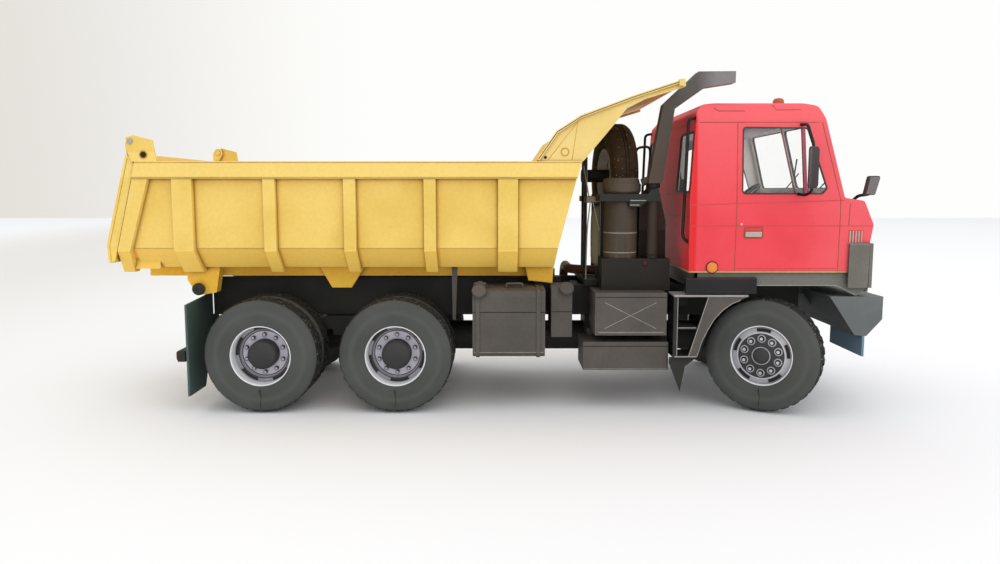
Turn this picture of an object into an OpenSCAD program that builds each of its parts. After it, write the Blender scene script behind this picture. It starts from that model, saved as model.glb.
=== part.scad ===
// Card model of a six-wheel tipper truck, 1:32, on a backbone chassis.
// Frame: +X forward, +Y the truck's left, +Z up, wheels on z = 0.

/* [Running gear] */
// tyre diameter
tyre_d = 35.2; // [33:0.1:37]
// width of one tyre
tyre_w = 9.6; // [8:0.1:11]
// outer radius of the rim barrel
rim_r = 9.2; // [8:0.1:10]
// fore-and-aft place of the rear axle
x_rear = -72.25; // [-76:0.25:-68]
// fore-and-aft place of the middle axle
x_mid = -31; // [-35:0.25:-27]
// fore-and-aft place of the front axle
x_front = 84; // [80:0.25:88]
// distance from the centre plane to a tyre's outer face
half_track = 39; // [37:0.1:40]
// distance from the centre plane to a kingpin
kingpin_y = 32; // [30:0.1:33]
// angle the front wheels are parked at, turned to the truck's right
steer_rest = 29; // [0:1:30]

/* [Chassis] */
// underside height of the chassis rails
rail_z0 = 27; // [24:0.1:30]
// top height of the chassis rails
rail_z1 = 37; // [34:0.1:38]
// distance from the centre plane to a rail's outer face
rail_y = 15; // [13:0.1:17]
// backbone tube diameter
tube_d = 10; // [8:0.1:12]

/* [Bed] */
// height of the bed floor's underside
bed_z0 = 44.3; // [42:0.1:46]
// height of the knee where the side turns in
knee_z = 50.4; // [48:0.1:54]
// height of the top rail's underside
bed_rail_z = 71.5; // [68:0.1:74]
// height of the top rail's upper face
bed_z1 = 76.6; // [74:0.1:80]
// distance from the centre plane to a side panel
bed_y = 36.5; // [34:0.1:38]
// card thickness of the bed
bed_t = 0.8; // [0.5:0.1:1.5]
// fore-and-aft place of the tipping pivot
pivot_x = -93.6; // [-96:0.1:-90]
// height of the tipping pivot
pivot_z = 37.2; // [36:0.1:39]

/* [Cab] */
// card thickness of the cab
cab_t = 0.8; // [0.5:0.1:1.5]
// half width of the cab at its waist
cab_y = 38.6; // [37:0.1:40]
// half width of the cab at the cant rail
cab_top_y = 36.6; // [34:0.1:38]
// height of the red panels' lower edge
cab_z0 = 43.3; // [42:0.1:45]
// height of the roof
cab_z1 = 94.2; // [92:0.1:97]
// rear face of the cab
cab_x0 = 58.2; // [56:0.1:60]

/* [Hidden] */
$fn = 48;
tyre_r = tyre_d / 2;
axle_z = tyre_r;
dual_gap = 1.0;
rim_in = rim_r - 0.6;
dual_w = 2 * tyre_w + dual_gap;
ram_n = 3;
ram_step = 14;
ram_y = 9.2;
ram_x = -41.35;
ram_z = 20.84;
eye_x = -39;
eye_z = 41.2;
ram_tilt = atan2(eye_x - ram_x, eye_z - ram_z);
ram_len = norm([eye_x - ram_x, eye_z - ram_z]);
gate_x = -108.4;
gate_z = 82.4;
bed_slope = 0.245;
spare_x = 36.2;
spare_z = 72.9;

// ---- helpers -------------------------------------------------------------

// children on the right side and mirrored to the left
module both() {
    children();
    mirror([0, 1, 0]) children();
}

// box between two corners
module block(a, b) {
    translate(a) cube(b - a);
}

// side-view outline (x, z) extruded across the truck from y0 to y1
module across(pts, y0, y1) {
    translate([0, y1, 0]) rotate([90, 0, 0]) linear_extrude(y1 - y0) polygon(pts);
}

// front-view outline (y, z) extruded along the truck from x0 to x1
module along(pts, x0, x1) {
    translate([x0, 0, 0]) rotate([90, 0, 90]) linear_extrude(x1 - x0) polygon(pts);
}

// cylinder along Y from y0 to y1
module rod_y(x, z, r, y0, y1) {
    translate([x, y0, z]) rotate([-90, 0, 0]) cylinder(h = y1 - y0, r = r);
}

// cylinder between two points
module rod(a, b, r) {
    v = b - a;
    translate(a) rotate([0, acos(v.z / norm(v)), atan2(v.y, v.x)])
        cylinder(h = norm(v), r = r, $fn = 32);
}

// bent tube through a list of points; every second leg is a little thinner,
// and each leg runs a little past its corner
module pipe_run(pts, r) {
    last = len(pts) - 2;
    for (i = [0 : last]) {
        a = pts[i];
        b = pts[i + 1];
        d = (b - a) / norm(b - a) * r * 0.5;
        rod(i == 0 ? a : a - d, i == last ? b : b + d, i % 2 == 0 ? r : r * 0.9);
    }
}

// flat strip that follows a side-view line, thickness t below it
module strip(pts, t, y0, y1) {
    for (i = [0 : len(pts) - 2]) {
        a = pts[i];
        b = pts[i + 1];
        n = [b.y - a.y, a.x - b.x] / norm(b - a) * t;
        across([a, b, b + n, a + n], y0, y1);
    }
}

// a part drawn with its outer face at z = 0, set on the right or left wheel
module on_wheel(x, side) {
    translate([x, side * half_track, axle_z]) rotate([-side * 90, 0, 0]) children();
}

// a front wheel's part, turned about its kingpin
module steered(side) {
    translate([x_front, side * kingpin_y, 0]) rotate([0, 0, -steer_rest])
        translate([-x_front, -side * kingpin_y, 0]) children();
}

// ---- wheels --------------------------------------------------------------

module tyre_ring() {
    color([0.16, 0.16, 0.16]) rotate_extrude($fn = 96) polygon([
        [rim_r, -1], [rim_r + 0.5, -1], [rim_r + 1.8, -0.4], [rim_r + 4.4, 0],
        [tyre_r - 1.5, -0.35], [tyre_r - 0.5, -0.9], [tyre_r, -1.8],
        [tyre_r, 1.8 - tyre_w], [tyre_r - 0.5, 0.9 - tyre_w],
        [tyre_r - 1.5, 0.35 - tyre_w], [rim_r + 4.4, -tyre_w],
        [rim_r + 1.8, 0.4 - tyre_w], [rim_r + 0.5, 1 - tyre_w], [rim_r, 1 - tyre_w]
    ]);
}

module twin_tyres() {
    tyre_ring();
    translate([0, 0, -tyre_w - dual_gap]) tyre_ring();
}

// front rim: dished ring, proud nut disc and a domed hub cap
module front_rim() {
    color([0.8, 0.8, 0.8]) rotate_extrude($fn = 96) polygon([
        [0, 0.3], [1.4, 0.2], [2.4, -0.3], [2.7, -0.9], [6.9, -0.9], [7.5, -1.3],
        [8, -2.6], [rim_in, -3], [rim_in, -0.9], [rim_r, -0.5], [rim_r + 0.4, -0.5],
        [rim_r + 0.4, -0.95], [rim_r, -0.95], [rim_r, -tyre_w + 0.6],
        [rim_in, -tyre_w + 0.6], [rim_in, -4.2], [2.8, -3.6], [2.8, -4.6],
        [1.5, -4.6], [1.5, -1.4], [0, -1.4]
    ]);
}

// rear rim: deep dish with a long planetary hub, shared by two tyres
module rear_rim() {
    color([0.8, 0.8, 0.8]) rotate_extrude($fn = 96) polygon([
        [0, -1.8], [3.2, -1.8], [3.8, -2.4], [4, -3.2], [4, -7.2], [6.9, -7.2],
        [7.6, -6], [8.1, -5.4], [rim_in, -5.4], [rim_in, -0.9], [rim_r, -0.5],
        [rim_r + 0.4, -0.5], [rim_r + 0.4, -0.95], [rim_r, -0.95],
        [rim_r, -dual_w + 0.6], [rim_in, -dual_w + 0.6], [rim_in, -8.4],
        [3.4, -8.4], [3.4, -10.4], [1.5, -10.4], [1.5, -3.4], [0, -3.4]
    ]);
}

// spare rim: the front rim closed with a flat back plate
module spare_rim() {
    color([0.5, 0.5, 0.48]) translate([spare_x + tyre_w, 0, spare_z]) rotate([0, 90, 0])
        rotate_extrude($fn = 96) polygon([
            [2.2, -1.2], [7.2, -1.2], [8, -2.8], [rim_in, -2.8], [rim_in, -0.9],
            [rim_r, -0.5], [rim_r + 0.4, -0.5], [rim_r + 0.4, -0.95], [rim_r, -0.95],
            [rim_r, -tyre_w + 0.6], [rim_in, -tyre_w + 0.6], [rim_in, -4], [7.6, -3.4],
            [2.2, -3.4]
        ]);
}

module spare_tyre() {
    translate([spare_x + tyre_w, 0, spare_z]) rotate([0, 90, 0]) tyre_ring();
}

module front_wheel(side) { steered(side) on_wheel(x_front, side) front_rim(); }

module front_tyre(side) { steered(side) on_wheel(x_front, side) tyre_ring(); }

module rear_wheel(x, side) { on_wheel(x, side) rear_rim(); }

module rear_tyres(x, side) { on_wheel(x, side) twin_tyres(); }

// ---- chassis -------------------------------------------------------------

// rails with upper tipping rails, cross members, pivot tube and ram hangers
module chassis_frame() {
    color([0.13, 0.14, 0.14]) {
        both() difference() {
            union() {
                block([-94, -rail_y, rail_z0], [100, -rail_y + 2, rail_z1]);
                block([-94, -rail_y, rail_z1], [21, -rail_y + 2, 39.6]);
                block([-46, -rail_y, 17.5], [-36.7, -rail_y + 1.6, rail_z0]);
                block([-96.5, -rail_y, 34.4], [-88, -rail_y + 2, 39.6]);
            }
            rod_y(ram_x, ram_z, 1.05, -rail_y - 1, -rail_y + 3);
        }
        for (x = [-93, -60, -14, 26, 62, 94])
            block([x, -rail_y + 2, rail_z0 + 1.5], [x + 3, rail_y - 2, rail_z1 - 1.5]);
        block([-94, -rail_y + 2, 28.4], [-93, rail_y - 2, 36]);
        for (z = [30, 33]) block([-97.6, -3, z], [-93.9, 3, z + 1]);
        translate([-96, 0, 29.2]) cylinder(h = 6, r = 0.8);
        both() rod_y(pivot_x, pivot_z, 2, -23.6, -rail_y + 1);
        both() rod_y(pivot_x, pivot_z, 1.3, -29, -23);
        for (x = [x_rear, x_mid, x_front])
            block([x - 2.5, -rail_y + 2, axle_z + 6.42], [x + 2.5, rail_y - 2, rail_z0 + 1.6]);
    }
}

// round backbone with a housing at each axle and the transfer box
module backbone_tube() {
    color([0.15, 0.15, 0.15]) {
        translate([-79, 0, axle_z]) rotate([0, 90, 0]) cylinder(h = 171, d = tube_d);
        for (x = [x_rear, x_mid, x_front])
            translate([x - 5.5, 0, axle_z]) rotate([0, 90, 0]) cylinder(h = 11, r = 6.4);
        block([30, -7, 12.6], [44, 7, 25.5]);
        translate([-79, 0, axle_z]) rotate([0, 90, 0]) translate([0, 0, -1.2]) cylinder(h = 1.4, r = 3.6);
    }
}

// plain engine block between the rails below the cab
module engine_block() {
    color([0.2, 0.2, 0.2]) along([[-11, 31], [-7, 28.8], [7, 28.8], [11, 31], [11, 38],
        [7, 41.5], [-7, 41.5], [-11, 38]], 68, 92);
}

// swing half axles; the front pair end in forks round the kingpins
module half_axles() {
    color([0.15, 0.15, 0.15]) both() {
        for (x = [x_rear, x_mid]) {
            rod_y(x, axle_z, 2.6, -half_track + dual_w - 0.4, -6.42);
            rod_y(x, axle_z, 1.44, -half_track + 4, -half_track + dual_w);
            rod_y(x, axle_z, 4.6, -half_track + dual_w - 0.2, -half_track + dual_w + 1.8);
        }
        rod_y(x_front, axle_z, 2.4, -28.6, -6.42);
        difference() {
            union() {
                block([x_front - 1.6, -29.6, axle_z - 7.4], [x_front + 1.6, -28.2, axle_z + 7.4]);
                for (s = [-1, 1]) hull() {
                    translate([x_front, -kingpin_y, axle_z + s * 6.8])
                        cylinder(h = 1.2, r = 1.6, center = true);
                    block([x_front - 1.6, -29.6, axle_z + s * 6.8 - 0.6],
                        [x_front + 1.6, -28.6, axle_z + s * 6.8 + 0.6]);
                }
            }
            translate([x_front, -kingpin_y, axle_z]) cylinder(h = 20, r = 0.8, center = true);
        }
    }
}

// leaf packs over the rear axle pair, hung below the rails
module leaf_springs() {
    color([0.12, 0.12, 0.12]) both() {
        across([[-69, 24.4], [-60, 22.8], [-51.6, 22.4], [-43.2, 22.8], [-34.2, 24.4],
            [-34.2, 25], [-43.2, 25], [-47, 26.9], [-56.2, 26.9], [-60, 25], [-69, 25]],
            -18, -15.1);
        block([-54, -18, 20.6], [-49.2, -15.1, 22.6]);
    }
}

// steering knuckle: kingpin, flange and wheel spindle
module knuckle(side) {
    color([0.14, 0.14, 0.14]) steered(side) {
        translate([x_front, side * kingpin_y, axle_z]) {
            cylinder(h = 12.2, r = 1.6, center = true);
            cylinder(h = 14.6, r = 0.74, center = true);
        }
        on_wheel(x_front, side) {
            translate([0, 0, -7]) cylinder(h = 5.2, r = 1.44);
            translate([0, 0, -7.4]) cylinder(h = 2.4, r = 2.6);
        }
    }
}

// ---- tanks and boxes -----------------------------------------------------

module fuel_tank() {
    color([0.17, 0.17, 0.16]) {
        along([[-37, 18.2], [-36, 17.2], [-20, 17.2], [-19, 18.2], [-19, 37], [-20, 38],
            [-34.4, 38], [-36.2, 37.4], [-37, 36]], -7.4, 14.8);
        for (x = [-6.4, 12.2])
            along([[-37.3, 17.9], [-36.2, 16.9], [-19, 16.9], [-19, 38.3], [-34.5, 38.3],
                [-36.4, 37.7], [-37.3, 36.2]], x, x + 1.1);
        for (x = [-2, 9]) block([x, -19.2, 30], [x + 2, -rail_y, 34]);
        translate([-5.2, -33, 37.5]) cylinder(h = 2, r = 1.7);
    }
}

module small_tank() {
    color([0.17, 0.17, 0.16]) {
        block([16.8, -33, 22.6], [23.4, -19, 38.2]);
        block([18, -19.2, 30], [20, -rail_y, 34]);
    }
}

module battery_box() {
    color([0.18, 0.18, 0.18]) {
        block([30, -37, 23.8], [52, -21, 37]);
        block([34, -21.2, 28], [48, -rail_y, 33]);
    }
}

module tool_box() {
    color([0.17, 0.17, 0.17]) {
        block([26.6, -35.5, 12.7], [53, -20, 21.6]);
        for (x = [29, 46]) block([x, -24, 21.4], [x + 4, -21, 23.78]);
    }
}

// round canister with a cap, on a black cabinet
module air_cleaner() {
    color([0.16, 0.15, 0.14]) {
        translate([39, -25, 46.6]) cylinder(h = 21, r = 5.2);
        translate([39, -25, 67.4]) cylinder(h = 1.1, r = 4.6);
        translate([39, -25, 68.4]) cylinder(h = 3.2, r1 = 5.8, r2 = 5.5);
        block([32.8, -30, 37.02], [54, -19.4, 46.8]);
        across([[45.4, 46.6], [54, 46.6], [53.9, 58], [51.6, 68], [49, 70.4], [45.4, 66]],
            -22.4, -21.4);
    }
}

// intake pipe, slanted duct and a forward-facing head over the cab
module intake_snorkel() {
    color([0.17, 0.17, 0.17]) {
        translate([48.6, -28.4, 46.82]) cylinder(h = 24, r = 1.7);
        across([[46.6, 70.2], [50.9, 70.2], [54.1, 92.6], [63.2, 99], [72.3, 100.4],
            [72.3, 103.8], [61, 103.7], [50.6, 93.9]], -31.4, -26.6);
        rod([47.6, -28.4, 71.4], [45.2, -27.4, 70.4], 1.2);
    }
}

// exhaust elbow behind the cab, silencer on the left
module exhaust() {
    color([0.3, 0.2, 0.15]) {
        pipe_run([[57.6, -4, 40.8], [31, -4, 40.8], [25, 0, 40.8], [25, 17, 40.8],
            [25, 22.4, 38.4], [25, 24.4, 33.6]], 1.6);
        translate([19, 26, 29]) rotate([0, 90, 0]) cylinder(h = 22, r = 5.6);
        rod([21, 26, 24], [21, 26, 18], 1.6);
        for (x = [22, 36]) block([x, rail_y, 29.5], [x + 2, 21, 32.5]);
    }
}

module air_tanks() {
    color([0.16, 0.16, 0.16]) {
        for (z = [22.5, 32.5])
            translate([-9, 26.5, z]) rotate([0, 90, 0]) cylinder(h = 24, r = 4.6);
        for (x = [-5, 9]) block([x, rail_y, 21], [x + 2, 23, 36]);
        for (x = [-5, 9]) block([x, 21.6, 18.5], [x + 2, 23.2, 36.5]);
        block([43, 21, 23.8], [54, 37, 37]);
        block([45, rail_y, 28], [52, 21.2, 33]);
    }
}

// spare wheel frame across the rails behind the cab
module spare_carrier() {
    color([0.12, 0.13, 0.13]) {
        block([28.6, -19, 37], [35.2, 19, 39]);
        both() {
            block([33.3, -18.8, 38.8], [35.2, -17.2, 67]);
            block([28.6, -10.8, 38.8], [30.2, -9.2, 79]);
            block([28.6, -18.8, 64], [35.2, -9.2, 66]);
        }
        block([28.6, -10, 77.4], [30.2, 10, 79]);
        block([28.6, -10, 70.9], [30.2, 10, 74.9]);
        translate([29, 0, spare_z]) rotate([0, 90, 0]) cylinder(h = 16.4, r = 2.16);
    }
}

module rear_flaps() {
    color([0.13, 0.15, 0.16]) both() along([
        [-38, 5], [-24.4, 5], [-rail_y - 0.1, 24], [-rail_y - 0.1, 34.8], [-22, 34.2],
        [-38, 33.4]], -94.9, -94.2);
}

module underrun_bar() {
    color([0.16, 0.16, 0.16]) {
        block([-98, -37, 15.6], [-95.6, 37, 19]);
        both() block([-95.8, -14.9, 16], [-93, -13.1, rail_z0 - 0.02]);
    }
}

// ---- front end -----------------------------------------------------------

// step box on each side: boards, rung, side frame and wheel-arch band
module cab_steps() {
    color([0.17, 0.17, 0.17]) both() {
        difference() {
            across([[54.2, 35.9], [76, 35.9], [61.5, 17], [54.2, 17]], -38.2, -37.5);
            across([[56.3, 34.2], [66, 34.2], [62.8, 26.4], [56.3, 26.4]], -39, -37);
            across([[56.3, 24.6], [61.9, 24.6], [60, 19.6], [56.3, 19.6]], -39, -37);
        }
        difference() {
            across([[61, 17], [66, 17], [76, 34], [76, 35.9], [66, 35.9]], -38.2, -37.5);
            rod_y(x_front, axle_z, tyre_r + 0.9, -39, -37);
        }
        block([54.2, -38.2, 35.8], [76.2, -29, 36.5]);
        block([54.2, -38.2, 17], [61.4, -27, 17.7]);
        across([[54.2, 24.6], [61.4, 24.6], [61.4, 25.3], [54.2, 25.3]], -38, -27);
        across([[60.6, 17], [61.4, 17], [68.4, 36], [67.6, 36]], -37.6, -27);
        block([54.2, -27.8, 17], [55, -27, 36]);
        block([54.2, -37.6, 17], [54.9, -27, 35.9]);
        across([[53, 17.1], [61.4, 17.1], [57.8, 14.2], [56.4, 6.4], [52.8, 15.6]],
            -37.2, -36.6);
        block([56, -29.2, 32], [60, -rail_y, 35]);
    }
}

// wedge-ended bumper with hanging flaps
module bumper() {
    color([0.3, 0.32, 0.32]) {
        across([[101, 36], [117.3, 36], [117.3, 29], [112.7, 23.8], [109, 24.1]], -38, 38);
        both() block([111.4, -38, 17.5], [112.2, -14, 24.2]);
        both() block([97.02, -rail_y + 2.02, 30], [108, -rail_y + 4, 34]);
    }
}

// ---- cab -----------------------------------------------------------------

cab_side = [[58, 43.3], [57.8, 65], [59.6, 91], [61.6, 93.6], [66, 94.2], [92, 94.2],
    [96.6, 93.2], [97.8, 90], [104, 65.8], [110.8, 64.9], [114.8, 57.8], [113.8, 52],
    [113.4, 43.3]];
cab_cross = [[-38.2, 43.3], [-38.6, 57.4], [-38.6, 64], [-36.8, 89], [-33.4, 94.2],
    [33.4, 94.2], [36.8, 89], [38.6, 64], [38.6, 57.4], [38.2, 43.3]];

module cab_solid(g) {
    intersection() {
        across_offset(g);
        along_offset(g);
    }
}

module across_offset(g) {
    translate([0, 45, 0]) rotate([90, 0, 0]) linear_extrude(90) offset(delta = -g) polygon(cab_side);
}

module along_offset(g) {
    translate([50, 0, 0]) rotate([90, 0, 90]) linear_extrude(80) offset(delta = -g) polygon(cab_cross);
}

// hollow cab with every window cut through
module cab_shell() {
    difference() {
        cab_solid(0);
        cab_solid(cab_t);
        window_cutters(0);
    }
}

// window openings; g > 0 shrinks them for the panes
module window_cutters(g) {
    both() across_window(g);
    both() rear_window(g);
    both() front_window(g);
}

module across_window(g) {
    translate([0, -30, 0]) rotate([90, 0, 0]) linear_extrude(12) offset(delta = -g)
        polygon([[73.4, 67], [73.4, 86.6], [92.6, 86.4], [98.6, 68.6], [97.2, 67]]);
}

module rear_window(g) {
    translate([54, 0, 0]) rotate([90, 0, 90]) linear_extrude(8) offset(delta = -g)
        polygon([[-33, 68], [-16, 68], [-16, 86], [-32, 86]]);
}

module front_window(g) {
    translate([94, 0, 0]) rotate([90, 0, 90]) linear_extrude(12) offset(delta = -g)
        polygon([[-35, 68.6], [-0.9, 68.6], [-0.9, 88], [-34, 88]]);
}

// outline that parts the nose and windscreen from the rest of the cab
module front_zone(e) {
    across([[103 + e, 30], [103 + e, 65], [96.6 + e, 89.4], [96.6 + e, 100], [125, 100],
        [125, 30]], -45, 45);
}

module cab_body() {
    color([0.8, 0.16, 0.16]) {
        difference() {
            cab_shell();
            front_zone(-0.02);
        }
    }
}

module cab_front() {
    color([0.8, 0.16, 0.16]) intersection() {
        cab_shell();
        front_zone(0);
    }
}

// dark sill round the cab's base, with black nose corners
module cab_skirt() {
    color([0.18, 0.18, 0.17]) {
        difference() {
            across([[60, 43.28], [60, 39.2], [103, 39.2], [109, 36.1], [113.2, 38.6],
                [113.2, 43.28]], -37.6, 37.6);
            across([[61, 42.4], [61, 35], [112.2, 35], [112.2, 42.4]], -36.8, 36.8);
        }
        both() across([[105.8, 52.2], [114, 52.2], [113.6, 38.8], [105.8, 38.8]],
            -39.3, -38.62);
        both() across([[113.92, 52.2], [114.9, 52.2], [114.4, 38.8], [113.3, 38.8],
            [113.46, 43.2]], -39.3, -30);
        block([62, -14.8, 37.02], [66, 14.8, 42.5]);
        block([96, -14.8, 37.02], [99.8, 14.8, 42.5]);
    }
}

// thin panes set inside the openings
module cab_windows() {
    color([0.8, 0.85, 0.88, 0.35]) {
        difference() {
            intersection() {
                cab_solid(0.3);
                window_cutters(0.02);
            }
            cab_solid(0.55);
        }
    }
}

module seats() {
    color([0.3, 0.3, 0.3]) for (y = [-19, 19]) {
        block([66, y - 7, 44.2], [80, y + 7, 56]);
        across([[66, 55.9], [69.6, 55.9], [67.2, 72], [64, 72]], y - 6.5, y + 6.5);
        across([[63.9, 71.9], [67.1, 71.9], [66.2, 78], [63.4, 78]], y - 3.5, y + 3.5);
    }
}

module dashboard() {
    color([0.25, 0.25, 0.25]) {
        across([[96, 60], [97, 66.4], [102.6, 66.4], [102.6, 44.2], [100, 44.2], [99.6, 58]],
            -36, 36);
        rod([98, 19, 60], [92, 19, 65.5], 0.8);
        translate([91.6, 19, 65.9]) rotate([0, -42, 0]) {
            rotate_extrude() translate([6, 0]) circle(r = 0.55, $fn = 16);
            cylinder(h = 0.8, r = 1.6, center = true);
            for (a = [0, 120, 240]) rotate([0, 0, a])
                translate([0.5, -0.5, -0.3]) cube([5.6, 1, 0.6]);
        }
    }
}

// mirrors on tube arms each side, and the kerb mirror on the right nose
module mirrors() {
    color([0.1, 0.1, 0.1]) {
        both() {
            pipe_run([[91, -37.6, 87], [91.6, -42, 86.4], [92.4, -44.6, 82.6],
                [92.4, -44.6, 67.6], [91.4, -42, 66.6], [90.2, -39.1, 66.9]], 0.5);
            block([91.2, -46.8, 68.6], [93.6, -43.6, 80.6]);
        }
        pipe_run([[109, -33, 65.7], [109.4, -35, 66.4], [112.4, -36, 66.8],
            [112.8, -36.4, 69]], 0.5);
        hull() {
            block([109.8, -38.6, 67.2], [112.6, -36.2, 67.8]);
            block([111.2, -38.6, 71.4], [114.2, -36.2, 72]);
        }
    }
}

// bent tubes on the cab's back wall
module grab_rails() {
    color([0.12, 0.13, 0.13]) {
        pipe_run([[58.1, 30, 71.6], [52, 30, 71.6], [52, 30, 83], [58.6, 30, 84.4]], 0.5);
        both() pipe_run([[58.9, -35, 88.4], [56, -36.4, 87.6], [55.4, -36.4, 55],
            [57.6, -36.4, 52.6]], 0.5);
    }
}

// ---- bed -----------------------------------------------------------------

// rear edge of the bed at height z
function bed_back(z) = -107.4 - bed_slope * (bed_z1 - z);
// front edge of the bed at height z
function bed_nose(z) = z < knee_z ? 17.8 + (z - bed_z0) * 0.12 : 18.6 + (z - knee_z) * 0.262;

bed_side = [[bed_back(bed_z0), bed_z0], [17.8, bed_z0], [18.6, knee_z],
    [25.4, bed_z1], [bed_back(bed_z1), bed_z1]];
bed_cross = [[-30, bed_z0], [30, bed_z0], [bed_y, knee_z], [bed_y, bed_z1],
    [-bed_y, bed_z1], [-bed_y, knee_z]];
bed_cross_in = [[-29.6, bed_z0 + bed_t], [29.6, bed_z0 + bed_t],
    [bed_y - bed_t, knee_z + 0.3], [bed_y - bed_t, bed_z1 + 1],
    [-bed_y + bed_t, bed_z1 + 1], [-bed_y + bed_t, knee_z + 0.3]];

// open tub: floor, slanted flanks, sides and front wall, open at the rear
module bed_tub() {
    color([0.93, 0.8, 0.35]) {
        difference() {
            intersection() {
                across(bed_side, -45, 45);
                along(bed_cross, -130, 40);
            }
            intersection() {
                across([[bed_back(40), 40], [16.6, 40], [17.7, knee_z],
                    [24.5, bed_z1 + 0.1], [24.8, 80], [bed_back(80), 80]], -45, 45);
                translate([-3, 0, 0]) along(bed_cross_in, -130, 50);
            }
            across([[-130, bed_z0 + bed_t], [-110, bed_z0 + bed_t], [-110, 80], [-130, 80]],
                -bed_y + bed_t, bed_y - bed_t);
        }
        both() across([[bed_back(bed_rail_z), bed_rail_z], [24.1, bed_rail_z],
            [25.4, bed_z1], [bed_back(bed_z1), bed_z1]], -39, -bed_y + 0.1);
        both() rod_y(gate_x, gate_z, 0.8, -38.4, -36.2);
        both() across([[-108.2, bed_z1 - 0.1], [-100.9, bed_z1 - 0.1], [-102, 82.8],
            [-107.4, 84.2], [-109.6, 83.6], [-109.6, 80]], -39, -38);
    }
}

// outline of a straight post in the front view
rib_cross = [[-bed_y - 0.02, bed_rail_z - 0.02], [-38.7, bed_rail_z - 0.02], [-38.7, knee_z - 0.6],
    [-31.2, 42.8], [-28, 42.8], [-28, bed_z0 - 0.02], [-30.02, bed_z0 - 0.02],
    [-bed_y - 0.02, knee_z - 0.02]];

module bed_ribs() {
    color([0.93, 0.8, 0.35]) both() {
        for (x = [-94, -68, -44, -20, 3.4]) {
            w = x < -90 || x > 0 ? 3 : 1.8;
            along(rib_cross, x - w, x + w);
        }
        intersection() {
            along(rib_cross, -120, -95);
            across([[bed_back(80), 80], [bed_back(80) + 5, 80], [bed_back(40) + 3.4, 40],
                [bed_back(40), 40]], -45, -20);
        }
    }
}

// spill guard over the front: side cheeks, raked plate and edge strip
module bed_canopy() {
    color([0.95, 0.84, 0.42]) {
        both() {
            across([[11.8, bed_z1 + 0.02], [17.6, 85.2], [24.8, 89.8], [54.6, 100.2],
                [55.4, 98.2], [44, 94.8], [38.4, 92], [34.8, 87.4], [25.8, bed_z1 + 0.02]],
                -38.4, -37.6);
            strip([[12, 77.2], [17.6, 85.4], [24.8, 90], [40, 95.6], [54.6, 100.3]], 0.8,
                -39.6, -38.3);
        }
        strip([[25.2, bed_z1 + 0.4], [30.6, 86.6], [36, 92.2], [44, 96.2], [54.8, 99.6]], 0.7,
            -37.7, 37.7);
    }
}

// long beams and lugs below the floor
module bed_beams() {
    color([0.75, 0.58, 0.22]) {
        both() {
            block([-112, -21, 40.6], [16, -17.6, bed_z0 - 0.02]);
            difference() {
                across([[-97.4, bed_z0 - 0.02], [-87, bed_z0 - 0.02], [-88.4, 36],
                    [-94.4, 35], [-97.4, 40]], -27.9, -24);
                rod_y(pivot_x, pivot_z, 1.35, -30, -20);
            }
            across([[-57, bed_z0 - 0.02], [-42, bed_z0 - 0.02], [-46.6, 37], [-52.8, 37]],
                -23.4, -21.02);
            across([[9, bed_z0 - 0.02], [18, bed_z0 - 0.02], [17.6, 38.8], [10, 39.6]],
                -26, -21.02);
            for (y = [-12.2, -7]) difference() {
                across([[-42.3, bed_z0 - 0.02], [-35.9, bed_z0 - 0.02], [-36.2, 38.6],
                    [-41.8, 38.6]], y, y + 0.8);
                rod_y(eye_x, eye_z, 2, y - 1, y + 2);
            }
        }
        for (x = [-100, -70, -20]) block([x, -17.62, 42.4], [x + 2, 17.62, bed_z0 - 0.02]);
    }
}

module bed_stay() {
    color([0.4, 0.4, 0.38]) both() {
        across([[-14.2, bed_z0 - 0.02], [-12.4, bed_z0 - 0.02], [-13, 27.2], [-14, 27.2]],
            -27.6, -26.6);
    }
}

// hanging rear gate: panel, frame and hinge arms
module tailgate() {
    color([0.93, 0.8, 0.35]) {
        strip([[-109.2, 79], [-116, 51.4], [-116.3, 46.4]], -0.8, -36.3, 36.3);
        both() {
            strip([[-109.9, 79], [-117.3, 51.6], [-116.9, 46.2]], -1.8, -37.6, -34.6);
            difference() {
                across([[-110.3, 78.6], [-108.2, 79.4], [-106.8, 82], [-107.4, 83.8],
                    [-109.2, 84], [-110.6, 82]], -37.4, -36.6);
                rod_y(gate_x, gate_z, 0.85, -40, -30);
            }
        }
        for (y = [-18, 0, 18])
            strip([[-110, 78], [-117.3, 51.6], [-116.9, 46.6]], -1.2, y - 1.5, y + 1.5);
        for (p = [[-110, 78.9], [-113.6, 64.8], [-117.3, 51.6]])
            across([p, p + [0.6, -2.4], p + [2, -2.4], p + [1.6, 0]], -36.4, 36.4);
    }
}

// ---- tipping rams --------------------------------------------------------

// along the ram axis from its trunnion, both sides
module on_ram() {
    both() translate([ram_x, -ram_y, ram_z]) rotate([0, ram_tilt, 0]) children();
}

module tube(r, bore, z0, z1, floor_t) {
    translate([0, 0, z0]) difference() {
        cylinder(h = z1 - z0, r = r);
        translate([0, 0, floor_t]) cylinder(h = z1 - z0 + 1, r = bore);
    }
}

module ram_barrels() {
    color([0.35, 0.25, 0.22]) on_ram() {
        tube(3.2, 2.75, -3.8, 14.8, 0.8);
        translate([0, 0, 14]) tube(3.5, 2.75, 0, 1, -0.1);
        translate([0, -5.8, 0]) rotate([-90, 0, 0]) cylinder(h = 2.8, r = 1);
    }
}

module ram_stage_1() {
    color([0.75, 0.75, 0.75]) on_ram() tube(2.7, 2.25, -2.9, 15.4, 0.4);
}

module ram_stage_2() {
    color([0.75, 0.75, 0.75]) on_ram() tube(2.2, 1.75, -2.4, 16, 0.4);
}

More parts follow.
